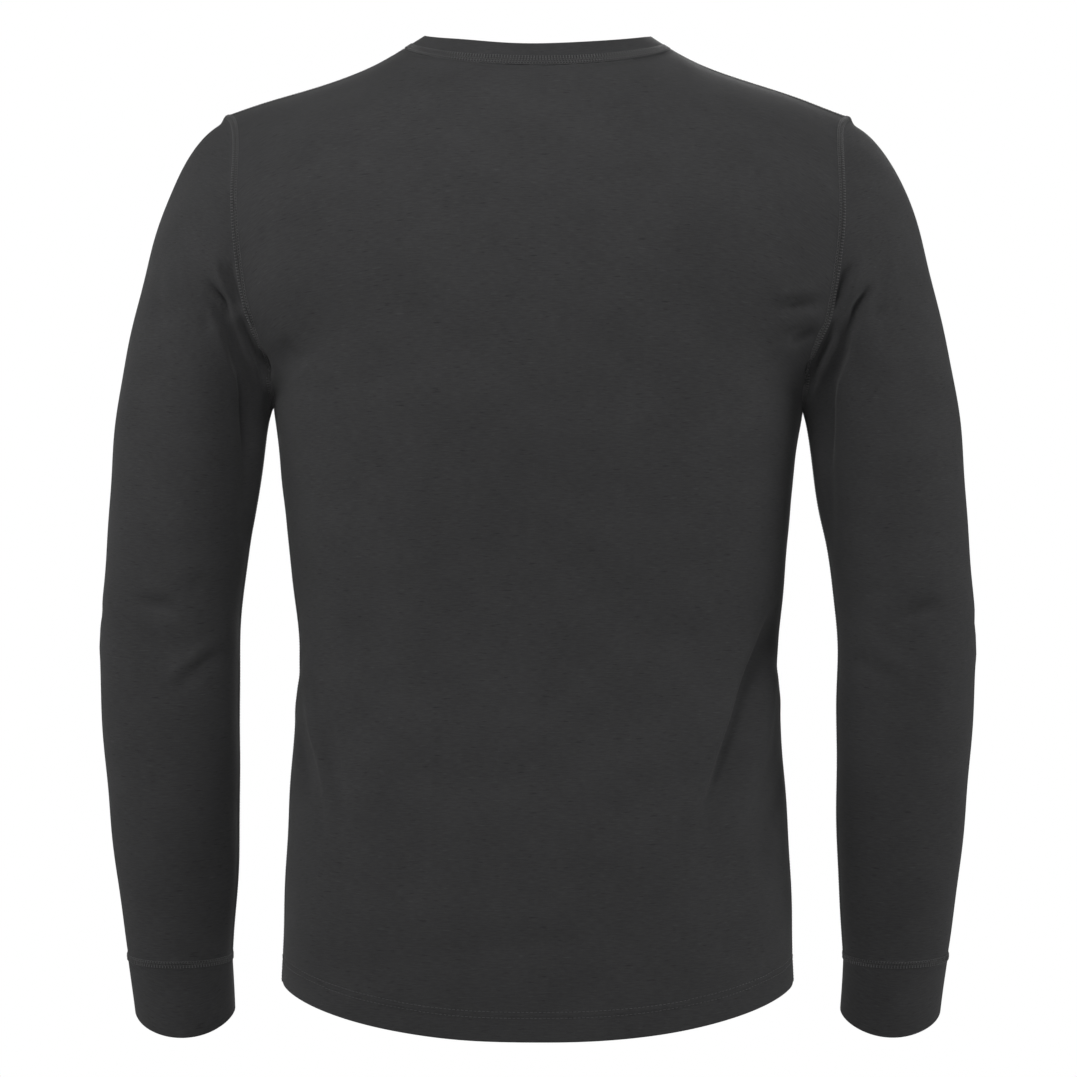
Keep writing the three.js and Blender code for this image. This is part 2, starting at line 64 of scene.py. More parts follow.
def powered(value, exponent):
    return np.sign(value) * np.abs(value) ** exponent


def unit(vectors):
    return vectors / np.maximum(np.linalg.norm(vectors, axis=-1, keepdims=True), 1e-9)


def dot(a, b):
    return np.sum(a * b, axis=-1)


def point(x, y, z):
    return np.stack(np.broadcast_arrays(x, y, z), axis=-1).astype(float)


def readTable(table, by, name, at):  # a smooth curve through the rows of a table
    xs, ys = np.array(table[by], float), np.array(table[name], float)
    if xs[-1] < xs[0]:
        xs, ys = xs[::-1], ys[::-1]
    last = len(xs) - 1
    at = np.clip(np.asarray(at, float), xs[0], xs[-1])
    i = np.clip(np.searchsorted(xs, at, side="right") - 1, 0, last - 1)
    ahead = np.minimum(np.arange(last + 1) + 1, last)
    behind = np.maximum(np.arange(last + 1) - 1, 0)
    slope = (ys[ahead] - ys[behind]) / (xs[ahead] - xs[behind])
    span = xs[i + 1] - xs[i]
    t = (at - xs[i]) / span
    return ((2 * t**3 - 3 * t**2 + 1) * ys[i] + (t**3 - 2 * t**2 + t) * slope[i] * span
            + (3 * t**2 - 2 * t**3) * ys[i + 1] + (t**3 - t**2) * slope[i + 1] * span)


# ---- the cut of the body

bodyCut = {
    "corner": 2.3,  # above 2, sections are squarer than an ellipse
    "armpitZ": -254.0,
    "sideHemZ": -666.0,
    "hemCurve": 1.65,
    "neckHalfWidth": 95.5,
    "neckShare": 0.44,
    "shoulderRise": 3.0,
    "shoulderRound": 0.44,
    "neckReach": 0.35,
    "sideReach": 0.5,
    "sideHang": 2.5,
    "neckSlope": 31.0,
    "neckLean": 0.6,
    "armholeFlare": 16.0,
    "lowCells": 8,  # the yoke's columns start along the last eighth of the low armhole
}
bodySections = {
    "z": [-700, -600, -540, -480, -430, -380, -330, -290, -254, -200, -150, -110],
    "halfWidth": [182.5, 179.8, 176.6, 173.2, 170.9, 175, 180, 184, 188.8, 190, 190, 190],
    "back": [114, 110, 105, 98, 95, 98, 105, 111, 115, 118, 118, 114],
    "front": [104, 103, 103, 104, 106, 110, 114, 117, 117, 110, 98, 86],
}
armholeSeam = {
    "z": [-254, -233, -222, -210, -196, -175, -147],
    "x": [188.8, 190, 192.5, 197, 202.5, 206.5, 210],
}
shoulderSeam = {
    "x": [95.5, 115, 156, 222.4],
    "y": [-5, -6, -8, -10],
    "z": [0, -12, -27, -49],
}
backPanel = {
    "name": "back_panel", "node": "back", "depth": "back", "facing": -1, "neckY": -62, "neckZ": -18,
    "neckCurve": 1.3, "neckSquare": 1.0, "rise": 52, "hemDrop": 30, "armholeY": -78, "yokeZ": -125,
}
frontPanel = {
    "name": "front_panel", "node": "front", "depth": "front", "facing": 1, "neckY": 66, "neckZ": -88,
    "neckCurve": 1.5, "neckSquare": 0.87, "rise": 60, "hemDrop": 6, "armholeY": 52, "yokeZ": -150,
}

edgeSteps = [0, 0.45, 1.0, 1.8, 2.7, 3.8, 5.5]  # millimetres from a seam at which the cloth is divided
hemSteps = [0, 0.35, 0.8, 1.5, 3, 6, 9, 12, 14.6, 15.6, 16.4, 17.2, 18.5, 19.8, 20.6, 21.4, 22.4, 24.5]
panelGridding = {"neck": 26, "shoulder": 30, "side": 122, "low": 48, "yoke": 40}


def spread(count, length, near=True):  # 0 to 1, closer together next to the far end
    steps = np.linspace(0, 1, count + 1)
    if not near:
        return steps
    close = 1 - np.array(edgeSteps) / length
    return np.concatenate([np.linspace(0, close[-1], count + 1)[:-1], close[::-1]])


columnHalf = np.concatenate([
    np.linspace(0, bodyCut["neckShare"], panelGridding["neck"] + 1)[:-1],
    mix(bodyCut["neckShare"], 1, spread(panelGridding["shoulder"], 140)),
])
columnShares = np.concatenate([-columnHalf[:0:-1], columnHalf])
sideHeights = bodyCut["sideHemZ"] + np.concatenate([
    hemSteps, np.linspace(hemSteps[-1], bodyCut["armpitZ"] - bodyCut["sideHemZ"], panelGridding["side"])[1:],
])
lowSteps = np.linspace(0, 1, panelGridding["low"] + 1)[1:]
yokeSteps = spread(panelGridding["yoke"], 105)[1:]


def sectionPoint(panel, share, edgeX, edgeY, depth, z):
    corner = bodyCut["corner"]
    edgeTurn = np.arccos(np.clip((np.abs(edgeY) / depth) ** (corner / 2), 0, 1))
    turn = share * edgeTurn
    across = edgeX / np.sin(edgeTurn) ** (2 / corner) * powered(np.sin(turn), 2 / corner)
    out = depth * np.maximum(np.cos(turn), 0) ** (2 / corner)
    return point(-panel["facing"] * across, panel["facing"] * out, z)


def sidePoint(panel, share, height):
    up = (height - bodyCut["sideHemZ"]) / (bodyCut["armpitZ"] - bodyCut["sideHemZ"])
    middle = np.maximum(np.cos(share * math.pi / 2), 0) ** bodyCut["hemCurve"]
    z = height - panel["hemDrop"] * (1 - up) ** 2 * middle
    halfWidth = readTable(bodySections, "z", "halfWidth", z)
    return sectionPoint(panel, share, halfWidth, 0, readTable(bodySections, "z", panel["depth"], z), z)


def lowArmholePoint(panel, share, step):
    armpitZ, widestZ = bodyCut["armpitZ"], armholeSeam["z"][-1]
    seamZ = armpitZ + (widestZ - armpitZ) * (1 - cosineOf(90 * step))
    middleZ = mix(armpitZ, panel["yokeZ"], step)
    z = mix(middleZ, seamZ, np.abs(share) ** bodyCut["sideHang"])
    edgeY = panel["armholeY"] * sineOf(90 * step)
    depth = readTable(bodySections, "z", panel["depth"], middleZ)
    return sectionPoint(panel, share, readTable(armholeSeam, "z", "x", seamZ), edgeY, depth, z)


def topPoint(panel, share):
    neckShare, half = bodyCut["neckShare"], bodyCut["neckHalfWidth"]
    size = np.abs(share)
    side = -panel["facing"] * np.sign(share)
    forward = np.maximum(cosineOf(90 * np.minimum(size / neckShare, 1)), 0)
    turned = sineOf(90 * np.minimum(size / neckShare, 1))
    neck = point(side * half * turned ** panel["neckSquare"],
                 mix(shoulderSeam["y"][0], panel["neckY"], forward ** panel["neckSquare"]),
                 panel["neckZ"] * forward ** panel["neckCurve"])
    x = mix(half, shoulderSeam["x"][-1], np.clip((size - neckShare) / (1 - neckShare), 0, 1))
    shoulder = point(side * x, readTable(shoulderSeam, "x", "y", x), readTable(shoulderSeam, "x", "z", x))
    return np.where((size > neckShare + 1e-9)[..., None], shoulder, neck)


def neckNormal(panel, share):
    turn = 90 * np.abs(share) / bodyCut["neckShare"]
    side = -panel["facing"] * np.sign(share)
    along = unit(topPoint(panel, share + 0.01) - topPoint(panel, share - 0.01))
    slope, rise = bodyCut["neckSlope"], panel["rise"]
    facing = point(side * sineOf(slope) * sineOf(turn),
                   panel["facing"] * sineOf(rise) * cosineOf(turn),
                   cosineOf(slope) * sineOf(turn) + cosineOf(rise) * cosineOf(turn))
    return unit(facing - along * dot(facing, along)[..., None])


def yokePoints(panel, shares, steps):
    facing, neckShare = panel["facing"], bodyCut["neckShare"]
    low = lowArmholePoint(panel, shares, np.ones_like(shares))
    below = lowArmholePoint(panel, shares, np.full_like(shares, 1 - 1 / bodyCut["lowCells"]))
    top = topPoint(panel, shares)
    length = np.linalg.norm(top - low, axis=-1)
    side = -facing * np.sign(shares)
    underNeck = np.clip(1 - np.abs(shares) / neckShare, 0, 1)
    overShoulder = np.clip((np.abs(shares) - neckShare) / (1 - neckShare), 0, 1)
    neckPart = smooth(underNeck)
    rise = mix(-facing * bodyCut["shoulderRise"], panel["rise"], neckPart)
    end = point(0, -facing * cosineOf(rise), sineOf(rise))
    lean = bodyCut["neckLean"] * cosineOf(90 * underNeck) * (1 - smooth(overShoulder, 0, 0.5))
    slope = bodyCut["neckSlope"]
    end += point(-side * cosineOf(slope), 0, sineOf(slope)) * lean[..., None]
    normal = neckNormal(panel, shares)
    end = np.where((underNeck > 0)[..., None], end - normal * dot(end, normal)[..., None], end)
    reach = mix(bodyCut["shoulderRound"] * np.abs(top[:, 1] - low[:, 1]), bodyCut["neckReach"] * length, neckPart)
    end = unit(end) * reach[:, None]
    end[:, 0] += side * bodyCut["armholeFlare"] * overShoulder
    reach = mix(bodyCut["sideReach"] * np.abs(top[:, 2] - low[:, 2]), bodyCut["neckReach"] * length, neckPart)
    start = unit(low - below) * reach[:, None]
    t = steps[:, None, None]
    return ((1 - t) ** 3 * low + 3 * t * (1 - t) ** 2 * (low + start)
            + 3 * t**2 * (1 - t) * (top - end) + t**3 * top)


def panelGrid(panel):
    shares = columnShares[None, :]
    return np.concatenate([
        sidePoint(panel, shares, sideHeights[:, None]),
        lowArmholePoint(panel, shares, lowSteps[:, None]),
        yokePoints(panel, columnShares, yokeSteps),
    ])


# ---- the cut of the sleeves, cuffs and neck band

sleeveRings = {
    "outX": [222.4, 240, 256, 270, 281, 291, 299.5, 304.5, 308, 311.3, 310.8, 307.5, 302, 293],
    "outZ": [-49, -62, -86, -121, -164, -210, -257, -305, -357, -410, -463, -520, -580, -648],
    "inX": [188.8, 189.6, 190.6, 191.8, 193.6, 196.5, 201, 206.5, 210.5, 213, 213, 214, 214.5, 218.6],
    "inZ": [-254, -257, -261.5, -268, -280, -300, -329, -357, -388, -424, -468, -520, -578, -648],
    "midY": [-8, -8, -8, -8, -8, -9, -10, -11, -12, -12, -10, -5, 2, 10],
    "back": [70, 67, 64, 61, 58, 56, 55, 53, 51, 49, 48, 46, 42, 35],
    "front": [60, 58, 57, 57, 57, 56, 55, 53, 51, 49, 48, 46, 42, 35],
    "lean": [0, 0, 0, 0, 0, 0, 0, 0, 0, 2, 5, 6, 6, 6],
    "tuck": [0, 3, 8, 12, 14, 13, 9, 5, 2, 0, 0, 0, 0, 0],
}
ringColumns = list(sleeveRings)
lastRing = len(sleeveRings["outX"]) - 1
sleeveRings["ring"] = list(range(lastRing + 1))
sleeveCut = {"squareRings": 4.0, "tuckBack": 142, "tuckFront": 218, "tuckWidth": 30, "rows": 150}
cuffCut = {
    "outX": 288.9, "outZ": -688, "inX": 217.4, "inZ": -688, "midY": 16, "back": 33, "front": 33,
    "lean": 14, "tuck": 0,
}
cuffEdge = {"dip": 8.5, "curve": 1.5, "length": 42, "rows": 16}
bandCut = {
    "back": {"height": 17.4, "lean": 18}, "side": {"height": 20, "lean": 57},
    "front": {"height": 18, "lean": 36}, "rows": 10, "sideDip": 1.8, "sideDipWidth": 15,
}


def ringPoint(ring, across, out, off=0):
    middleX, middleZ = (ring["outX"] + ring["inX"]) / 2, (ring["outZ"] + ring["inZ"]) / 2
    halfX, halfZ = (ring["outX"] - ring["inX"]) / 2, (ring["outZ"] - ring["inZ"]) / 2
    size = np.hypot(halfX, halfZ)
    return point(middleX + halfX * across - halfZ / size * off, ring["midY"] + out,
                 middleZ + halfZ * across + halfX / size * off + out * sineOf(ring["lean"]))


def ovalOut(ring, angle):
    def bump(centre):
        return np.exp(-(((angle % 360 - centre) / sleeveCut["tuckWidth"]) ** 2))
    tucked = ring["tuck"] * (bump(sleeveCut["tuckBack"]) - bump(sleeveCut["tuckFront"]))
    return -sineOf(angle) * np.where(sineOf(angle) > 0, ring["back"], ring["front"]) + tucked


def ringAt(place):
    return {name: readTable(sleeveRings, "ring", name, place) for name in ringColumns}


def sleeveAngles():  # degrees round the sleeve, from the armpit up the front and down the back
    low, yoke = np.concatenate([[0], lowSteps]), yokeSteps
    front = np.concatenate([180 + 96 * low, 276 + 84 * yoke])
    return np.concatenate([front, (720 - front)[-2::-1]])


def sleeveGrid(back, front):
    first = len(sideHeights) - 1
    loop = np.concatenate([front[first:, 0], back[first:-1, -1][::-1]])
    start = ringAt(0)
    middleX, middleZ = (start["outX"] + start["inX"]) / 2, (start["outZ"] + start["inZ"]) / 2
    halfX, halfZ = (start["outX"] - start["inX"]) / 2, (start["outZ"] - start["inZ"]) / 2
    size = np.hypot(halfX, halfZ)
    fromX, fromZ = loop[:, 0] - middleX, loop[:, 2] - middleZ
    across = (fromX * halfX + fromZ * halfZ) / size**2
    out, off = loop[:, 1] - start["midY"], (-fromX * halfZ + fromZ * halfX) / size
    near = np.array(edgeSteps) / 22  # the first ring is 22 mm along the sleeve's outer side
    places = np.concatenate([near, np.linspace(near[-1], lastRing, sleeveCut["rows"])[1:-1]])
    places = np.concatenate([places, lastRing - np.array(edgeSteps[:-1])[::-1] / 68])
    angles = sleeveAngles()
    rows = []
    for place in places:
        ring = ringAt(place)
        oval = smooth(place, 0, sleeveCut["squareRings"])
        rows.append(ringPoint(ring, mix(across, cosineOf(angles), oval),
                              mix(out, ovalOut(ring, angles), oval), off * (1 - oval)))
    rows[0] = loop
    return np.array(rows)


def cuffGrid(sleeve):
    seam, angles = ringAt(lastRing), sleeveAngles()
    near = np.array(edgeSteps) / cuffEdge["length"]
    fold = 1 - np.array([0, 0.3, 0.7, 1.3, 2.2])[::-1] / cuffEdge["length"]
    downs = np.concatenate([near, np.linspace(near[-1], fold[0], cuffEdge["rows"])[1:-1], fold])
    rows = [sleeve[-1]]
    for down in downs[1:]:
        ring = {name: mix(seam[name], cuffCut[name], down) for name in ringColumns}
        row = ringPoint(ring, cosineOf(angles), ovalOut(ring, angles))
        row[:, 2] -= cuffEdge["dip"] * down * np.maximum(sineOf(angles), 0) ** cuffEdge["curve"]
        rows.append(row)
    return np.array(rows)


def mirrored(grid):
    return grid[:, ::-1] * np.array([-1, 1, 1])


def bandGrid(back, front):
    middleY = (backPanel["neckY"] + frontPanel["neckY"]) / 2
    under = np.abs(columnShares) <= bodyCut["neckShare"] + 1e-9
    shares = columnShares[under] / bodyCut["neckShare"]
    loop = np.concatenate([back[-1, under], front[-1, under][1:]])
    turns = np.concatenate([90 * shares, 180 + 90 * shares[1:]])
    middle = {key: np.where(cosineOf(turns) > 0, bandCut["back"][key], bandCut["front"][key])
              for key in ("height", "lean")}
    sideways = sineOf(turns) ** 2
    height = mix(middle["height"], bandCut["side"]["height"], sideways)
    lean = mix(middle["lean"], bandCut["side"]["lean"], sideways)
    height -= bandCut["sideDip"] * np.exp(-((np.abs(turns % 180 - 90)) / bandCut["sideDipWidth"]) ** 2)
    inward = unit(point(-loop[:, 0], middleY - loop[:, 1], 0))
    way = inward * sineOf(lean)[:, None] + point(0, 0, cosineOf(lean))
    near, fold = np.array([0, 0.45, 1.0, 1.8]) / 18, 1 - np.array([0, 0.3, 0.7, 1.3, 2.2])[::-1] / 18
    ups = np.concatenate([near, np.linspace(near[-1], fold[0], bandCut["rows"])[1:-1], fold])
    return np.array([loop + way * (height * up)[:, None] for up in ups])


# ---- creases

# Soft ridges, or troughs where the depth is negative: the side that each is seen from, the points
# that it runs through (across and up), its width to the right and to the left of its run, and its depth.
creases = [
    ("back", ((-248, -147), (-243, -171), (-235, -185)), 9, 5, 2.8),
    ("back", ((250, -151), (245, -175), (237, -189)), 5, 9, 2.5),
    ("back", ((-231, -170), (-224, -179), (-219, -186), (-216, -199)), 3.4, 4.6, -6.5),
    ("back", ((233, -174), (227, -182), (222, -190), (219, -202)), 4.6, 3.4, -5.9),
    ("back", ((-230, -181), (-224, -192), (-219, -203), (-215, -216), (-211, -229), (-207, -242), (-205, -273), (-205, -291)), 3.8, 11, -9.0),
    ("back", ((229, -185), (224, -196), (218, -207), (215, -221), (210, -233), (206, -247), (205, -277), (205, -296)), 11, 3.8, -8.1),
    ("back", ((-207, -249), (-205, -287), (-207, -322), (-208, -356)), 6.5, 12, -3.4),
    ("back", ((206, -254), (205, -291), (206, -326), (208, -360)), 12, 6.5, -3.1),
    ("back", ((-226, -155), (-219, -174), (-210, -188)), 7, 4, 2.2),
    ("back", ((227, -153), (220, -171), (212, -185)), 4, 7, 2.0),
    ("back", ((-222, -155), (-216, -174)), 5, 5, -1.8),
    ("back", ((219, -157), (214, -175)), 5, 5, -2.2),
    ("back", ((-214, -155), (-212, -168), (-209, -181), (-207, -190)), 8, 3.0, -5.2),
    ("back", ((214, -158), (212, -170), (209, -183), (207, -193)), 3.0, 8, -4.7),
    ("back", ((-207, -195), (-202, -206), (-196, -219), (-191, -231), (-193, -244)), 10, 3.2, -9.6),
    ("back", ((207, -197), (202, -208), (196, -221), (191, -233), (193, -246)), 3.2, 10, -8.6),
    ("back", ((-259, -153), (-257, -190)), 7, 9, 1.2),
    ("back", ((255, -161), (253, -199)), 9, 7, 1.1),
    ("back", ((-268, -175), (-264, -202)), 6, 8, -1.3),
    ("back", ((271, -165), (267, -192)), 8, 6, -1.0),
    ("back", ((-234, -193), (-231, -206)), 5, 5, -1.6),
    ("back", ((238, -188), (236, -200)), 5, 5, -1.4),
    ("back", ((-285, -392), (-272, -396), (-262, -398), (-252, -404)), 4.5, 9, -5.0),
    ("back", ((-275, -402), (-261, -406)), 6, 7, -1.3),
    ("back", ((-261, -448), (-244, -434), (-225, -418)), 7, 6, 2.8),
    ("back", ((-254, -456), (-236, -440), (-219, -429)), 5, 9, -2.6),
    ("back", ((-233, -374), (-244, -387)), 7, 8, -1.4),
    ("back", ((-286, -420), (-282, -463)), 9, 9, 1.0),
    ("back", ((285, -397), (269, -400), (255, -409)), 9, 5, -4.4),
    ("back", ((259, -440), (243, -431), (227, -412)), 6, 7, 2.6),
    ("back", ((251, -451), (236, -443), (223, -430)), 8, 5, -2.5),
    ("back", ((231, -382), (245, -391)), 7, 7, -1.3),
    ("back", ((285, -434), (279, -478)), 9, 9, 1.0),
    ("back", ((-272, -533), (-265, -582)), 10, 10, 0.8),
    ("back", ((259, -523), (255, -565)), 10, 11, 0.8),
    ("back", ((-180, -209), (-171, -222), (-162, -230)), 14, 9, -3.4),
    ("back", ((-160, -220), (-152, -231), (-144, -244)), 8, 9, 2.2),
    ("back", ((-193, -66), (-191, -85), (-187, -103)), 12, 12, -1.3),
    ("back", ((-164, -454), (-158, -483), (-151, -510), (-143, -558)), 5, 7, 3.6),
    ("back", ((-156, -461), (-147, -504), (-137, -555)), 5, 15, -4.6),
    ("back", ((-170, -477), (-164, -509), (-160, -534)), 5, 9, -2.2),
    ("back", ((-133, -278), (-136, -364), (-137, -445)), 13, 15, 1.2),
    ("back", ((-85, -274), (-84, -350), (-82, -426)), 15, 17, 1.0),
    ("back", ((-113, -378), (-110, -444)), 13, 14, -1.4),
    ("back", ((167, -400), (158, -426), (147, -455), (131, -505), (112, -562)), 6, 19, -9.2),
    ("back", ((138, -476), (123, -516), (106, -559)), 5, 15, -3.4),
    ("back", ((173, -424), (163, -465), (151, -515), (131, -565)), 12, 8, 4.0),
    ("back", ((176, -508), (162, -559), (156, -588)), 12, 6, -3.4),
    ("back", ((166, -193), (182, -188), (200, -185)), 4, 7, -3.8),
    ("back", ((175, -214), (185, -209), (197, -204)), 4, 8, -3.6),
    ("back", ((164, -182), (180, -178), (194, -173)), 7, 7, 1.5),
    ("back", ((170, -203), (182, -199), (194, -194)), 6, 6, 1.2),
    ("back", ((180, -99), (196, -106)), 8, 9, -1.3),
    ("back", ((51, -307), (50, -378), (53, -451)), 15, 16, 1.0),
    ("back", ((90, -243), (86, -317)), 14, 15, -1.3),
    ("back", ((-55, -634), (-6, -629), (46, -634)), 16, 17, -1.5),
    ("back", ((-70, -88), (-47, -122), (-40, -162)), 22, 24, -1.0),
    ("back", ((70, -92), (51, -125), (46, -158)), 22, 24, -1.0),
    ("front", ((226, -178), (200, -166), (172, -158)), 7, 12, -5.6),
    ("front", ((224, -160), (198, -148), (176, -145)), 8, 11, 3.0),
    ("front", ((-228, -172), (-198, -159), (-166, -151)), 7, 12, -5.2),
    ("front", ((-226, -153), (-202, -141), (-178, -138)), 8, 11, 2.8),
    ("front", ((240, -160), (231, -186), (222, -208)), 6, 6, -5.2),
    ("front", ((250, -176), (241, -206), (232, -236)), 6, 8, -4.2),
    ("front", ((246, -150), (236, -178), (229, -206)), 6, 7, 2.6),
    ("front", ((-238, -166), (-229, -186), (-221, -206)), 6, 6, -5.6),
    ("front", ((-252, -172), (-243, -204), (-233, -230)), 6, 8, -3.9),
    ("front", ((-246, -158), (-236, -186), (-227, -212)), 6, 7, 2.4),
    ("front", ((168, -436), (148, -480), (114, -522)), 7, 12, -5.6),
    ("front", ((174, -462), (152, -516), (132, -556)), 8, 12, 4.2),
    ("front", ((-166, -424), (-150, -464), (-124, -502)), 7, 12, -5.1),
    ("front", ((-172, -452), (-157, -500), (-140, -540)), 8, 11, 3.5),
    ("front", ((226, -402), (254, -409), (288, -416)), 6, 8, -4.2),
    ("front", ((228, -432), (252, -437), (280, -434)), 6, 8, -3.4),
    ("front", ((230, -417), (256, -424), (282, -426)), 6, 7, 2.3),
    ("front", ((234, -378), (250, -386), (266, -388)), 6, 8, -2.3),
    ("front", ((-226, -400), (-256, -408), (-286, -420)), 6, 8, -4.2),
    ("front", ((-228, -438), (-254, -440), (-282, -434)), 6, 8, -3.1),
    ("front", ((-230, -419), (-256, -424), (-280, -428)), 6, 7, 2.2),
    ("front", ((-236, -374), (-252, -384), (-270, -388)), 6, 8, -2.1),
    ("front", ((-72, -228), (-16, -236), (44, -231)), 22, 24, -2.3),
    ("front", ((92, -250), (80, -292), (62, -336)), 15, 18, 1.9),
    ("front", ((-98, -262), (-88, -308), (-74, -350)), 15, 18, 1.9),
    ("front", ((-42, -566), (8, -573), (62, -564)), 18, 20, -2.4),
    ("front", ((30, -112), (38, -152)), 9, 14, -1.8),
    ("front", ((-36, -114), (-46, -160)), 9, 14, -1.8),
    ("front", ((136, -560), (126, -640)), 13, 15, 2.1),
    ("front", ((-120, -570), (-128, -650)), 13, 15, 2.1),
    ("outerRight", ((-34, -404), (-6, -411), (26, -404)), 8, 9, -0.9),
    ("outerRight", ((-30, -436), (4, -430), (30, -440)), 9, 9, 0.7),
    ("outerRight", ((18, -150), (8, -216), (10, -270)), 12, 14, -0.6),
    ("outerRight", ((-22, -540), (-10, -606)), 11, 12, 0.5),
    ("outerLeft", ((-36, -396), (-8, -405), (24, -400)), 8, 9, -0.9),
    ("outerLeft", ((-28, -430), (6, -424), (32, -432)), 9, 9, 0.6),
    ("outerLeft", ((14, -160), (4, -222), (8, -282)), 12, 14, -0.6),
    ("outerLeft", ((-20, -528), (-8, -598)), 11, 12, 0.5),
    ("sideRight", ((-52, -404), (-14, -436), (34, -448)), 8, 11, -0.8),
    ("sideRight", ((-46, -430), (-6, -462), (40, -484)), 9, 12, 0.6),
    ("sideRight", ((-20, -300), (12, -340)), 12, 14, -0.5),
    ("sideLeft", ((-50, -410), (-10, -444), (36, -452)), 8, 11, -0.7),
    ("sideLeft", ((-44, -438), (-2, -470), (42, -488)), 9, 12, 0.6),
    ("sideLeft", ((-16, -306), (14, -350)), 12, 14, -0.5),
]
creaseSides = {  # the axis that runs across, the axis and sign that it faces, and the range of x
    "back": (0, 1, -1, (-400, 400)), "front": (0, 1, 1, (-400, 400)),
    "outerRight": (1, 0, 1, (235, 400)), "outerLeft": (1, 0, -1, (-400, -235)),
    "sideRight": (1, 0, 1, (0, 215)), "sideLeft": (1, 0, -1, (-215, 0)),
}
creaseEnd = 0.12  # share of a crease's depth that is left at its ends
creaseParts = 12  # straight parts in which a crease is followed
softWaves = [(0.45, 0.052, 0.021, 0.013, 0.4), (0.4, -0.031, 0.044, 0.036, 2.1),
             (0.3, 0.083, -0.03, -0.021, 4.0), (0.25, 0.02, 0.07, 0.088, 1.2)]


def creasePath(points):
    table = {"place": list(range(len(points))), "across": [p[0] for p in points], "up": [p[1] for p in points]}
    at = np.linspace(0, len(points) - 1, creaseParts + 1)
    return np.stack([readTable(table, "place", name, at) for name in ("across", "up")], -1)


def creaseHeights(places, normals):
    heights = np.zeros(places.shape[:-1])
    for seen, points, rightWidth, leftWidth, depth in creases:
        across, facingAxis, sign, (lowX, highX) = creaseSides[seen]
        path = creasePath(points)
        reach = 2.2 * max(leftWidth, rightWidth)
        flat = places[..., [across, 2]]
        close = np.all((flat > path.min(0) - reach) & (flat < path.max(0) + reach), axis=-1)
        close &= (normals[..., facingAxis] * sign > 0.05) & (places[..., 0] > lowX) & (places[..., 0] < highX)
        if not close.any():
            continue
        run = path[1:] - path[:-1]
        away = flat[close][:, None] - path[:-1]
        share = np.clip(dot(away, run) / dot(run, run), 0, 1)
        off = np.linalg.norm(away - run * share[..., None], axis=-1)
        nearest = off.argmin(axis=1)
        rows = np.arange(len(off))
        along = (nearest + share[rows, nearest]) / creaseParts
        beside = (run[nearest] * (away - run * share[..., None])[rows, nearest][:, ::-1])
        width = mix(leftWidth, rightWidth, smooth(beside[:, 1] - beside[:, 0], -1, 1))
        tapered = mix(creaseEnd, 1, np.sin(math.pi * along)) * smooth(normals[close][:, facingAxis] * sign, 0.05, 0.4)
        heights[close] += depth * tapered * np.exp(-2 * (off[rows, nearest] / width) ** 2)
    for depth, kx, ky, kz, phase in softWaves:
        heights += depth * np.sin(kx * places[..., 0] + ky * places[..., 1] + kz * places[..., 2] + phase)
    return heights


# ---- cloth

clothWall = {
    "single": 1.0,  # the jersey's wall
    "double": 2.0,  # folded cuffs and neck band
    "hemHeight": 20.0,
    "ridge": 0.4,  # how far a flat seam stands out
    "ridgeHalf": 2.6,
    "edgeDown": 0.25,  # how far a sewn edge turns down into its seam
    "seamApart": 0.08,
}


def relaxed(grid, rounds):  # evens out bends without moving the edges
    grid = grid.copy()
    for _ in range(rounds):
        for axis in (0, 1):
            moved = np.moveaxis(grid, axis, 0)
            before, here, after = moved[:-2], moved[1:-1], moved[2:]
            near = np.linalg.norm(here - before, axis=-1, keepdims=True)
            far = np.linalg.norm(after - here, axis=-1, keepdims=True)
            level = before + (after - before) * near / np.maximum(near + far, 1e-9)
            change = 0.5 * (level - here)
            change[:, [0, -1]] = 0
            moved[1:-1] += change
    return grid


def gridNormals(grid):
    across = np.empty_like(grid)
    across[:, 1:-1] = grid[:, 2:] - grid[:, :-2]
    across[:, 0], across[:, -1] = grid[:, 1] - grid[:, 0], grid[:, -1] - grid[:, -2]
    along = np.empty_like(grid)
    along[1:-1] = grid[2:] - grid[:-2]
    along[0], along[-1] = grid[1] - grid[0], grid[-1] - grid[-2]
    return unit(np.cross(across, along))


def edgePoints(grid):
    height, width = grid.shape[:2]
    rows = [(j, i) for j in (0, height - 1) for i in range(width)]
    return rows + [(j, i) for i in (0, width - 1) for j in range(1, height - 1)]


def sharedNormals(grids):  # one normal where two pieces run smoothly on into each other
    own = {name: gridNormals(grid) for name, grid in grids.items()}
    meeting = {}
    for name, grid in grids.items():
        for j, i in edgePoints(grid):
            key = tuple(np.round(grid[j, i], 2))
            meeting.setdefault(key, []).append((name, j, i))
    shared = {name: normals.copy() for name, normals in own.items()}
    for places in meeting.values():
        for name, j, i in places:
            mine = own[name][j, i]
            others = [own[n][b, a] for n, b, a in places if own[n][b, a] @ mine > -0.3]
            shared[name][j, i] = unit(np.sum(others, axis=0))
    return shared


def arcs(grid, axis):  # distance along the cloth from the first row or column
    steps = np.linalg.norm(np.diff(grid, axis=axis), axis=-1)
    start = np.zeros_like(np.take(steps, [0], axis=axis))
    return np.concatenate([start, np.cumsum(steps, axis=axis)], axis=axis)


headRound = {"blur": 8.0, "wide": (22, 46), "start": (0.5, 9), "end": (110, 190)}


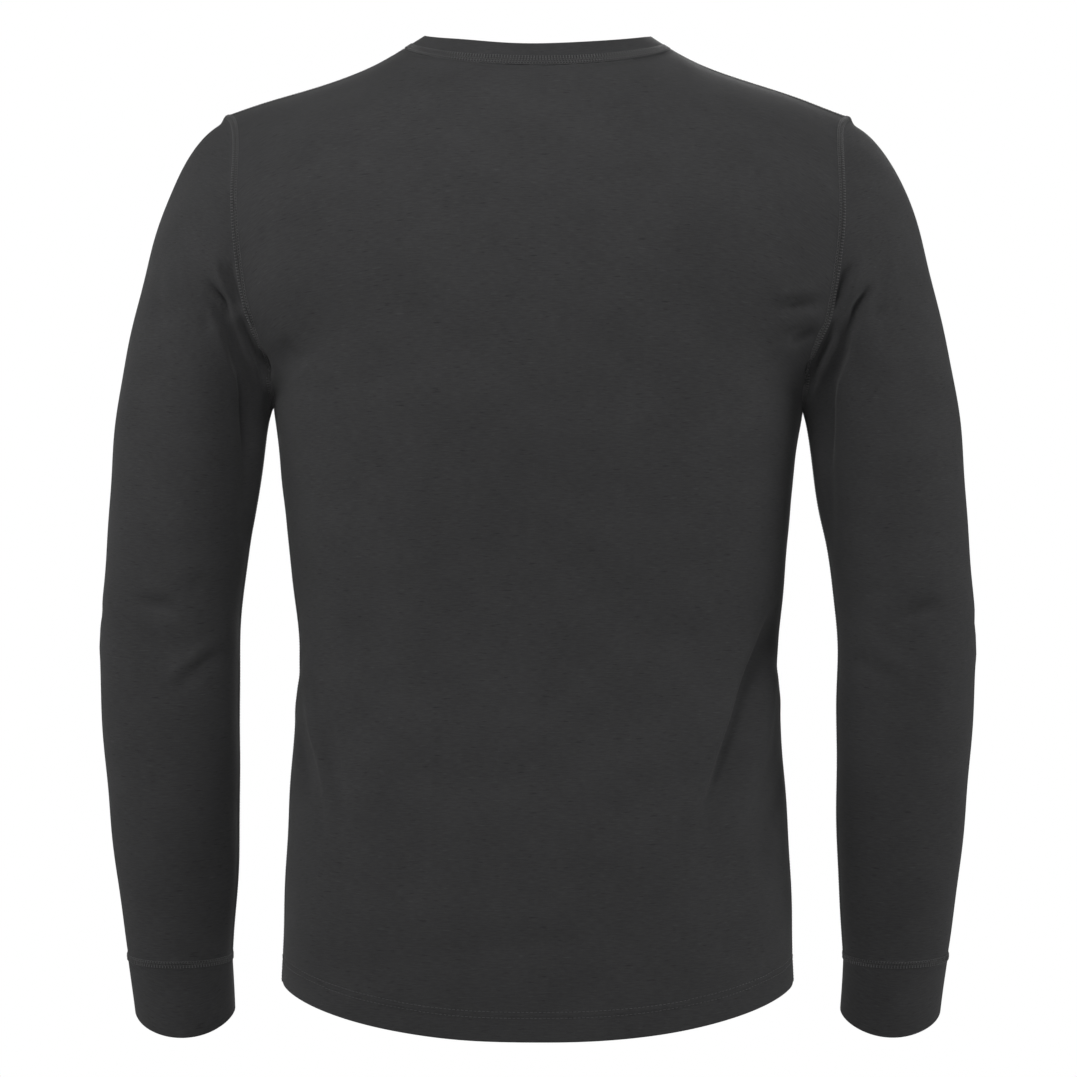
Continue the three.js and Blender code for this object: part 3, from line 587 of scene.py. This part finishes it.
def roundHead(sleeve):  # takes the armhole's point out of the sleeve's head, all but at the sewn edge
    around, down = arcs(sleeve, 1), arcs(sleeve, 0)
    around -= around[:, [sleeve.shape[1] // 2]]
    soft = sleeve.copy()
    for row, places in enumerate(sleeve):
        near = (around[row][:, None] - around[row]) / headRound["blur"]
        weight = np.exp(-0.5 * near ** 2) * np.gradient(around[row])
        soft[row] = weight @ places / weight.sum(1, keepdims=True)
    share = smooth(down, *headRound["start"]) * (1 - smooth(down, *headRound["end"]))
    share *= 1 - smooth(np.abs(around), *headRound["wide"])
    return mix(sleeve, soft, share[..., None])


def makeMesh(name, places, faces, flat=None, material=None):
    mesh = bpy.data.meshes.new(name)
    counts = np.array([len(face) for face in faces]) if isinstance(faces, list) else np.full(len(faces), faces.shape[1])
    corners = np.concatenate(faces) if isinstance(faces, list) else faces.ravel()
    mesh.vertices.add(len(places))
    mesh.vertices.foreach_set("co", (places * mm).astype(np.float32).ravel())
    mesh.loops.add(len(corners))
    mesh.loops.foreach_set("vertex_index", corners.astype(np.int32))
    mesh.polygons.add(len(counts))
    starts = np.concatenate([[0], np.cumsum(counts)[:-1]])
    mesh.polygons.foreach_set("loop_start", starts.astype(np.int32))
    mesh.polygons.foreach_set("loop_total", counts.astype(np.int32))
    mesh.polygons.foreach_set("use_smooth", np.ones(len(counts), bool))
    if flat is not None:
        layer = mesh.uv_layers.new(name="cloth")
        layer.data.foreach_set("uv", (flat[corners] * mm).astype(np.float32).ravel())
    mesh.update(calc_edges=True)
    mesh.validate()
    if material:
        mesh.materials.append(material)
    piece = bpy.data.objects.new(name, mesh)
    bpy.context.scene.collection.objects.link(piece)
    return piece


def rimDrop(distance, radius):  # how far a rounded edge falls away, near its end
    t = np.clip(1 - distance / radius, 0, 1)
    return radius * (1 - np.sqrt(1 - t * t))


def clothPiece(name, grid, normals, flat, wall, edges, lift=0.0, inside=0.0):
    # edges tells of the start, end, left and right edge: sewn, folded or free
    down, side = arcs(grid, 0), arcs(grid, 1)
    distance = {"start": down, "end": down[-1] - down, "left": side, "right": side[:, -1:] - side}
    outer = np.zeros(grid.shape[:2]) + lift
    inner = -np.ones(grid.shape[:2]) * wall + lift - inside
    turnedDown = np.zeros(grid.shape[:2])
    moved = grid.copy()
    for edge, kind in edges.items():
        away = distance[edge]
        if kind in ("sewn", "flat"):
            if kind == "sewn":
                outer += clothWall["ridge"] * (1 - smooth(away, clothWall["ridgeHalf"] - 0.5, clothWall["ridgeHalf"] + 1.2))
            turnedDown += clothWall["edgeDown"] * (1 - smooth(away, 0, 0.9))
            inner += 0.15 * (1 - smooth(away, 0, 0.9))
        else:
            drop = rimDrop(away, (wall + inside) / 2 if np.ndim(inside) == 0 else wall)
            outer -= drop * 0.8
            inner += drop * 0.8
    for edge, axis, at, next_ in (("start", 0, 0, 1), ("end", 0, -1, -2), ("left", 1, 0, 1), ("right", 1, -1, -2)):
        if edges[edge] in ("sewn", "flat"):
            place = (at,) if axis == 0 else (slice(None), at)
            near = (next_,) if axis == 0 else (slice(None), next_)
            moved[place] += unit(grid[near] - grid[place]) * clothWall["seamApart"]
    level = moved + normals * outer[..., None]
    outside = level - normals * turnedDown[..., None]
    under = moved + normals * inner[..., None]
    height, width = grid.shape[:2]
    index = np.arange(height * width).reshape(height, width)
    a, b, c, d = index[:-1, :-1], index[:-1, 1:], index[1:, 1:], index[1:, :-1]
    count = height * width
    sheets = [np.stack([a, b, c, d], -1).reshape(-1, 4), np.stack([a, d, c, b], -1).reshape(-1, 4) + count]

    def strip(line, turned):
        p, q = line[:-1], line[1:]
        quad = np.stack([p + count, q + count, q, p], -1)
        return quad[:, ::-1] if turned else quad

    sheets += [strip(index[0], False), strip(index[-1], True), strip(index[:, 0], True), strip(index[:, -1], False)]
    places = np.concatenate([outside.reshape(-1, 3), under.reshape(-1, 3)])
    flats = np.tile(flat.reshape(-1, 2), (2, 1))
    piece = makeMesh(name, places, np.concatenate(sheets), flats, jersey)
    return piece, level


def flatFrom(grid, row, column, turned=1):  # where each point lies on the cloth, from a row and a column of it
    across, along = arcs(grid, 1), arcs(grid, 0)
    return np.stack([across - across[:, column:column + 1], turned * (along - along[row][None])], -1)


# ---- materials

class Wire:
    def __init__(self, tree, socket):
        self.tree, self.socket = tree, socket

    def node(self, kind, settings, inputs, output=0):
        made = self.tree.nodes.new(kind)
        for name, value in settings.items():
            if name == "stops":
                for k, (place, colour) in enumerate(value):
                    stop = made.color_ramp.elements[k] if k < 2 else made.color_ramp.elements.new(place)
                    stop.position, stop.color = place, (*colour, 1)
            else:
                setattr(made, name, value)
        for name, value in inputs.items():
            if isinstance(value, Wire):
                self.tree.links.new(value.socket, made.inputs[name])
            else:
                made.inputs[name].default_value = value
        return Wire(self.tree, made.outputs[output])

    def maths(self, operation, a, b=0.0):
        return self.node("ShaderNodeMath", {"operation": operation}, {0: a, 1: b})

    def __add__(self, other):
        return self.maths("ADD", self, other)

    def __sub__(self, other):
        return self.maths("SUBTRACT", self, other)

    def __rsub__(self, other):
        return self.maths("SUBTRACT", other, self)

    def __mul__(self, other):
        return self.maths("MULTIPLY", self, other)

    def __truediv__(self, other):
        return self.maths("DIVIDE", self, other)

    __radd__, __rmul__ = __add__, __mul__


def newMaterial(name):
    material = bpy.data.materials.new(name)
    material.use_nodes = True
    tree = material.node_tree
    tree.nodes.clear()
    shader = tree.nodes.new("ShaderNodeBsdfPrincipled")
    output = tree.nodes.new("ShaderNodeOutputMaterial")
    tree.links.new(shader.outputs["BSDF"], output.inputs["Surface"])
    return material, shader, Wire(tree, None)


jerseyLook = {
    "dark": (0.030, 0.030, 0.031), "light": (0.060, 0.060, 0.0615),
    "waleWidth": 0.00085, "courseHeight": 0.0007,
    "roughness": 0.92, "sheen": 0.1, "sheenRoughness": 0.5, "specular": 0.2,
}


def jerseyMaterial():
    material, shader, wire = newMaterial("charcoal_jersey")
    flat = wire.node("ShaderNodeUVMap", {"uv_map": "cloth"}, {})
    u = wire.node("ShaderNodeSeparateXYZ", {}, {"Vector": flat})
    v = Wire(u.tree, u.socket.node.outputs[1])

    def noise(scaleU, scaleV, detail, roughness=0.6):
        place = wire.node("ShaderNodeMapping", {}, {"Vector": flat, "Scale": (scaleU, scaleV, 1)})
        return wire.node("ShaderNodeTexNoise", {}, {"Vector": place, "Scale": 1, "Detail": detail, "Roughness": roughness})

    slub = noise(150, 1150, 2)
    heather = noise(900, 2200, 3)
    patch = noise(22, 30, 2)
    fleck = noise(120, 760, 1, 0.4)
    darkFleck = wire.maths("MINIMUM", 1, wire.maths("MAXIMUM", (fleck - 0.66) * 9, 0))
    lightFleck = wire.maths("MINIMUM", 1, wire.maths("MAXIMUM", (0.33 - fleck) * 9, 0))
    tone = 0.5 + (slub - 0.5) * 1.0 + (heather - 0.5) * 0.55 + (patch - 0.5) * 0.5 - darkFleck * 0.5 + lightFleck * 0.35
    colour = wire.node("ShaderNodeMix", {"data_type": "RGBA"},
                       {"Factor": tone, 6: (*jerseyLook["dark"], 1), 7: (*jerseyLook["light"], 1)}, 2)
    wale = wire.maths("FRACT", u / jerseyLook["waleWidth"] + (slub - 0.5) * 0.5)
    fromMiddle = wire.maths("ABSOLUTE", wale - 0.5) * 2
    course = wire.maths("SINE", (v / jerseyLook["courseHeight"] - fromMiddle * 0.45) * (2 * math.pi))
    height = (1 - fromMiddle * fromMiddle) * (course * 0.25 + 0.75) + (heather - 0.5) * 0.8
    bump = wire.node("ShaderNodeBump", {}, {"Height": height, "Strength": 0.35, "Distance": 0.00018})
    tree = material.node_tree
    tree.links.new(colour.socket, shader.inputs["Base Color"])
    tree.links.new(bump.socket, shader.inputs["Normal"])
    tree.links.new((jerseyLook["roughness"] - tone * 0.08).socket, shader.inputs["Roughness"])
    shader.inputs["Specular IOR Level"].default_value = jerseyLook["specular"]
    shader.inputs["Sheen Weight"].default_value = jerseyLook["sheen"]
    shader.inputs["Sheen Roughness"].default_value = jerseyLook["sheenRoughness"]
    return material


threadLook = {"dark": (0.058, 0.058, 0.059), "light": (0.095, 0.095, 0.096), "roughness": 0.6}


def threadMaterial():
    material, shader, wire = newMaterial("charcoal_thread")
    place = wire.node("ShaderNodeTexCoord", {}, {}, 3)
    ply = wire.node("ShaderNodeTexNoise", {}, {"Vector": place, "Scale": 900, "Detail": 2})
    colour = wire.node("ShaderNodeMix", {"data_type": "RGBA"},
                       {"Factor": ply, 6: (*threadLook["dark"], 1), 7: (*threadLook["light"], 1)}, 2)
    material.node_tree.links.new(colour.socket, shader.inputs["Base Color"])
    shader.inputs["Roughness"].default_value = threadLook["roughness"]
    shader.inputs["Sheen Weight"].default_value = 0.3
    return material


jersey = jerseyMaterial()
thread = threadMaterial()
print("stage: materials made")

# ---- pieces of cloth

base = {"back": panelGrid(backPanel), "front": panelGrid(frontPanel)}
base["sleeve_right"] = sleeveGrid(base["back"], base["front"])
base["sleeve_left"] = mirrored(base["sleeve_right"])
base["cuff_right"] = cuffGrid(base["sleeve_right"])
base["cuff_left"] = mirrored(base["cuff_right"])
base["neck_band"] = bandGrid(base["back"], base["front"])
for name in ("back", "front", "sleeve_right", "sleeve_left"):
    base[name] = relaxed(base[name], 12)
for name in ("sleeve_right", "sleeve_left"):
    base[name] = roundHead(base[name])
flatNormals = sharedNormals(base)
shaped = {name: grid + flatNormals[name] * creaseHeights(grid, flatNormals[name])[..., None]
          for name, grid in base.items()}
normals = sharedNormals(shaped)
print("stage: creases shaped")

hemAway = {name: arcs(shaped[name], 0) for name in ("back", "front")}


def hemShape(away):  # the turned-up cloth inside, and the two sunken needle rows outside
    needle = np.exp(-((away - 16.4) / 0.45) ** 2) + np.exp(-((away - 20.6) / 0.45) ** 2)
    between = np.exp(-((away - 18.5) / 1.6) ** 4)
    outside = 0.18 * between - 0.28 * needle
    turned = 0.9 * (1 - smooth(away, 19.6, 20.4))
    return outside, turned


panelEdges = {"start": "folded", "end": "sewn", "left": "sewn", "right": "sewn"}
tubeEdges = {"start": "sewn", "end": "sewn", "left": "sewn", "right": "sewn"}
cuffEdges = {"start": "sewn", "end": "folded", "left": "flat", "right": "flat"}
bandEdges = {"start": "flat", "end": "folded", "left": "flat", "right": "flat"}
centre = len(columnShares) // 2
pieces, surfaces = {}, {}
for panel in (backPanel, frontPanel):
    node = panel["node"]
    outside, turned = hemShape(hemAway[node])
    flat = flatFrom(shaped[node], len(sideHeights) - 1, centre)
    pieces[node], surfaces[node] = clothPiece(
        panel["name"], shaped[node], normals[node], flat, clothWall["single"], panelEdges, outside, turned)
for node in ("sleeve_right", "sleeve_left"):
    flat = flatFrom(shaped[node], -1, shaped[node].shape[1] // 2, -1)
    pieces[node], surfaces[node] = clothPiece(
        f"{node}_cloth", shaped[node], normals[node], flat, clothWall["single"], tubeEdges)
for node in ("cuff_right", "cuff_left"):
    flat = flatFrom(shaped[node], -1, shaped[node].shape[1] // 2, -1)
    pieces[node], surfaces[node] = clothPiece(
        f"{node}_cloth", shaped[node], normals[node], flat, clothWall["double"], cuffEdges, 0.3)
flat = flatFrom(shaped["neck_band"], 0, shaped["neck_band"].shape[1] // 4)
pieces["neck_band"], surfaces["neck_band"] = clothPiece(
    "neck_band_cloth", shaped["neck_band"], normals["neck_band"], flat, clothWall["double"], bandEdges, 0.5)
flatSizes = {  # the cut of the cloth that shows: width and length in metres, and area in square metres
    "back": (0.500, 0.738, 0.317), "front": (0.500, 0.706, 0.2985),
    "sleeve_right": (0.385, 0.622, 0.162), "sleeve_left": (0.385, 0.622, 0.162),
    "cuff_right": (0.227, 0.043, 0.0096), "cuff_left": (0.227, 0.043, 0.0096), "neck_band": (0.548, 0.018, 0.00985),
}
for node, (wide, long, area) in flatSizes.items():
    "stretched" if "cuff" in node else "hung"
for node, piece in pieces.items():
    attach(piece, "root")
    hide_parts(node)

outerCloth = {}
for node, grid in surfaces.items():
    index = np.arange(grid[..., 0].size).reshape(grid.shape[:2])
    quads = np.stack([index[:-1, :-1], index[:-1, 1:], index[1:, 1:], index[1:, :-1]], -1).reshape(-1, 4)
    outerCloth[node] = BVHTree.FromPolygons(grid.reshape(-1, 3).tolist(), quads.tolist())
print("stage: cloth sewn")

# ---- stitching

flatSeam = {"pitch": 2.1, "needles": (-2.2, -0.75, 0.75, 2.2), "middle": 0.0, "reach": 2.4, "thread": 0.18, "lift": 0.04}
shoulderShift = {"needles": (-0.7, 0.8, 2.3, 3.8), "middle": 1.6}  # the shoulder seam's rows lie on the back
neckSeam = {"pitch": 2.1, "needles": (0.8, 2.3, 3.9, 5.5, 7.0), "middle": 3.9, "reach": 3.2, "thread": 0.18, "lift": 0.04}
hemSeam = {"pitch": 3.0, "rows": (16.4, 20.6), "thread": 0.2, "lift": 0.04}
wayDistance = 3.2  # how far into the cloth its direction beside a seam is taken


def inCloth(node, axis, fromEnd, distance=wayDistance):  # points and normals that far in from an edge
    grid, facing = shaped[node], normals[node]
    if axis == 1:
        grid, facing = grid.swapaxes(0, 1), facing.swapaxes(0, 1)
    if fromEnd:
        grid, facing = grid[::-1], facing[::-1]
    away = arcs(grid, 0)

    def at(values):
        return np.array([[np.interp(distance, away[:, i], values[:, i, k]) for k in range(3)]
                         for i in range(grid.shape[1])])
    return grid[0], at(grid), unit(at(facing))


def part(run, rows):
    return [values[rows] for values in run]


def side(nodes, *runs):  # one side of a seam: its edge, its normals and the way into the cloth
    points, inner, normal = [np.concatenate([run[k] for run in runs]) for k in range(3)]
    tangent = unit(np.gradient(points, axis=0))
    way = inner - points
    way = unit(way - tangent * dot(way, tangent)[:, None])
    return {"nodes": nodes.split(), "points": points, "way": way, "normal": unit(normal - way * dot(normal, way)[:, None])}


def makeSeam(first, second=None):
    second = second or {**first, "way": -first["way"]}
    steps = np.linalg.norm(np.diff(first["points"], axis=0), axis=-1)
    return {"sides": (first, second), "arc": np.concatenate([[0], np.cumsum(steps)])}


def onSeam(seam, along, offset, lift):
    def read(values):
        return np.stack([np.interp(along, seam["arc"], values[:, k]) for k in range(3)], -1)
    first, second = seam["sides"]
    toFirst = smooth(offset, -0.4, 0.4)[:, None]
    normal = unit(mix(read(second["normal"]), read(first["normal"]), toFirst))
    way = np.where((offset >= 0)[:, None], read(first["way"]), read(second["way"]))
    spots = read(first["points"]) + unit(way) * np.abs(offset)[:, None] + normal * 0.5
    found = []
    for spot, isFirst in zip(spots.tolist(), offset >= 0):  # onto the surface of the cloth on that side
        nodes = first["nodes"] if isFirst else second["nodes"]
        found.append(min((outerCloth[node].find_nearest(spot) for node in nodes), key=lambda hit: hit[3])[0])
    return np.array(found) + normal * lift, normal


def threadRuns(seam, alongs, offsets, lift, radius):  # short threads that dip into the cloth at both ends
    last = len(alongs) - 1
    spots = [onSeam(seam, along, offset, lift - (radius * 2 if k in (0, last) else 0))
             for k, (along, offset) in enumerate(zip(alongs, offsets))]
    places, faces = [spots[0][0]], []
    for k in range(1, last):
        spot, normal = spots[k]
        run = unit(spots[k + 1][0] - spots[k - 1][0])
        across = unit(np.cross(normal, run))
        for angle in (45, 135, 225, 315):
            places.append(spot + (across * cosineOf(angle) + normal * sineOf(angle)) * radius)
    places.append(spots[-1][0])
    tip = len(places) - 1
    for turn in range(4):
        a, b = 1 + turn, 1 + (turn + 1) % 4
        faces.append((0, b, a))
        for ring in range(last - 2):
            faces += [(a, b, b + 4), (a, b + 4, a + 4)]
            a, b = a + 4, b + 4
        faces.append((tip, a, b))
    count = len(alongs[0])
    every = np.array(faces)[None] + len(places) * np.arange(count)[:, None, None]
    return np.stack(places, 1).reshape(-1, 3), every.reshape(-1, 3)


def stitching(name, runs):
    places, faces, count = [], [], 0
    for somePlaces, someFaces in runs:
        places.append(somePlaces)
        faces.append(someFaces + count)
        count += len(somePlaces)
    piece = makeMesh(name, np.concatenate(places), np.concatenate(faces), None, thread)
    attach(piece, "root")
    return piece


def flatlock(name, seam, cut):
    count = int(round(seam["arc"][-1] / cut["pitch"]))
    step = seam["arc"][-1] / count
    at = np.arange(count) * step
    wobble = 0.12 * np.sin(at * 1.7) + 0.1 * np.sin(at * 0.61 + 1)
    runs = []
    for needle in cut["needles"]:
        offset = needle + wobble * 0.5
        alongs = [at + step * share for share in (0.04, 0.24, 0.76, 0.96)]
        runs.append(threadRuns(seam, alongs, [offset] * 4, cut["lift"], cut["thread"]))
    over = cut["lift"] + cut["thread"] * 1.2
    for begin, sign in ((0.0, 1), (0.5, -1)):
        alongs = [at + step * (begin + 0.5 * share) for share in (0, 0.12, 0.5, 0.88, 1)]
        offsets = [cut["middle"] + wobble * 0.5 + sign * cut["reach"] * (2 * share - 1) for share in (0, 0.1, 0.5, 0.9, 1)]
        runs.append(threadRuns(seam, alongs, offsets, over, cut["thread"]))
    return stitching(name, runs)


first = len(sideHeights) - 1
neckEnd = np.flatnonzero(np.abs(columnShares - bodyCut["neckShare"]) < 1e-9)[0]
tail, head = slice(neckEnd, None), slice(len(columnShares) - 1 - neckEnd, None, -1)
stitched = []
for hand in ("right", "left"):
    sleeve, cuff = f"sleeve_{hand}", f"cuff_{hand}"
    edges = {"front": hand == "left", "back": hand == "right"}  # whether each panel's last column meets this sleeve
    runs = {}
    for node, atEnd in edges.items():
        points, inner, facing = inCloth(node, 1, atEnd)
        lower = np.concatenate([np.repeat(points[:1], 3, axis=0), points[:-3]])
        runs[node] = [points, inner + (lower - points), facing]
    order = ("front", "back") if hand == "right" else ("back", "front")
    body = side("front back", part(runs[order[0]], slice(first, None)), part(runs[order[1]], slice(-2, first - 1, -1)))
    arm = side(sleeve, inCloth(sleeve, 0, False))
    stitched.append(flatlock(f"armhole_stitching_{hand}", makeSeam(arm, body), flatSeam))
    columns, others = (tail, head) if hand == "right" else (head, tail)
    stitched.append(flatlock(f"shoulder_stitching_{hand}", makeSeam(
        side("back", part(inCloth("back", 0, True), columns)),
        side("front", part(inCloth("front", 0, True), others))), {**flatSeam, **shoulderShift}))
    stitched.append(flatlock(f"side_stitching_{hand}", makeSeam(*[
        side(node, part(inCloth(node, 1, atEnd), slice(0, first + 1))) for node, atEnd in edges.items()]), flatSeam))
    stitched.append(flatlock(f"underarm_stitching_{hand}", makeSeam(
        side(sleeve, inCloth(sleeve, 1, False)), side(sleeve, inCloth(sleeve, 1, True))), flatSeam))
    stitched.append(flatlock(f"cuff_stitching_{hand}", makeSeam(
        side(cuff, inCloth(cuff, 0, False)), side(sleeve, inCloth(sleeve, 0, True))), flatSeam))
stitched.append(flatlock("neck_stitching", makeSeam(side("neck_band", inCloth("neck_band", 0, False, 7))), neckSeam))

for panel in (backPanel, frontPanel):  # the hem's two rows of needle stitches
    runs = []
    for height in hemSeam["rows"]:
        _, points, facing = inCloth(panel["node"], 0, False, height)
        _, inner, _ = inCloth(panel["node"], 0, False, height + wayDistance)
        seam = makeSeam(side(panel["node"], (points, inner, facing)))
        count = int(round(seam["arc"][-1] / hemSeam["pitch"]))
        step = seam["arc"][-1] / count
        alongs = [np.arange(count) * step + step * share for share in (0.06, 0.25, 0.75, 0.94)]
        runs.append(threadRuns(seam, alongs, [np.zeros(count)] * 4, hemSeam["lift"], hemSeam["thread"]))
    stitched.append(stitching(f"{panel['node']}_hem_stitching", runs))
print("stage: seams stitched")

# ---- floor, light and camera

studio = {"floorZ": -1.45, "floorRadius": 5.0, "floorGlow": 0.78, "floorShare": 0.6,
          "camera": (0.0004, -3.0, -0.3493), "lens": 140.26}
bpy.ops.object.select_all(action="DESELECT")
bpy.ops.mesh.primitive_circle_add(vertices=96, radius=studio["floorRadius"], fill_type="NGON",
                                  location=(0, 0, studio["floorZ"]))
floor = bpy.context.object
floor.name = "floor"
floorMaterial, floorShader, wire = newMaterial("pale_floor")
floorShader.inputs["Base Color"].default_value = (0.92, 0.92, 0.92, 1)
floorShader.inputs["Roughness"].default_value = 0.9
lit = Wire(wire.tree, floorShader.outputs["BSDF"])
glow = wire.node("ShaderNodeEmission", {}, {"Strength": studio["floorGlow"]})  # keeps the floor pale far from the lights
seen = wire.node("ShaderNodeLightPath", {}, {})
floorLook = wire.node("ShaderNodeMixShader", {}, {0: seen * studio["floorShare"], 1: lit, 2: glow})
wire.tree.links.new(floorLook.socket, wire.tree.nodes["Material Output"].inputs["Surface"])
floor.data.materials.append(floorMaterial)


def softbox(name, place, aim, size, power):
    lamp = bpy.data.lights.new(name, "AREA")
    lamp.shape, lamp.size, lamp.energy = "DISK", size, power
    light = bpy.data.objects.new(name, lamp)
    light.location = place
    light.rotation_euler = (Vector(aim) - Vector(place)).to_track_quat("-Z", "Y").to_euler()
    bpy.context.scene.collection.objects.link(light)


softbox("key_light", (-0.3, -1.05, 0.6), (0, 0, -0.15), 0.5, 7.2)
softbox("upper_light", (-1.3, -1.3, 0.9), (0, 0, -0.2), 0.7, 1.6)
softbox("level_light", (0.15, -1.4, 0.1), (0, 0, -0.2), 0.6, 1.6)
softbox("right_light", (2.15, -0.45, 0.3), (0, 0, -0.25), 1.2, 18.5)
softbox("left_light", (-2.0, -0.75, 0.3), (0, 0, -0.25), 1.2, 12.5)
softbox("chest_light", (0.35, 1.5, 0.6), (0, 0, -0.3), 0.8, 14)

world = bpy.data.worlds.new("studio")
bpy.context.scene.world = world
world.use_nodes = True
worldNodes, worldLinks = world.node_tree.nodes, world.node_tree.links
sky = worldNodes["Background"]
backdrop = worldNodes.new("ShaderNodeBackground")
path = worldNodes.new("ShaderNodeLightPath")
either = worldNodes.new("ShaderNodeMixShader")
sky.inputs["Color"].default_value = (1, 1, 1, 1)
sky.inputs["Strength"].default_value = 0.09
backdrop.inputs["Color"].default_value = (1, 1, 1, 1)
backdrop.inputs["Strength"].default_value = 1.0
worldLinks.new(path.outputs["Is Camera Ray"], either.inputs[0])
worldLinks.new(sky.outputs[0], either.inputs[1])
worldLinks.new(backdrop.outputs[0], either.inputs[2])
worldLinks.new(either.outputs[0], worldNodes["World Output"].inputs["Surface"])
bpy.context.scene.view_settings.view_transform = "Standard"

lens = bpy.data.cameras.new("camera")
lens.lens, lens.sensor_width, lens.clip_end = studio["lens"], 36, 100
camera = bpy.data.objects.new("camera", lens)
camera.location = studio["camera"]
camera.rotation_euler = (math.pi / 2, 0, 0)
bpy.context.scene.collection.objects.link(camera)
bpy.context.scene.camera = camera

bpy.context.view_layer.update()


print("stage: triangles", sum(sum(len(p.vertices) - 2 for p in o.data.polygons) for o in [*pieces.values(), *stitched]))
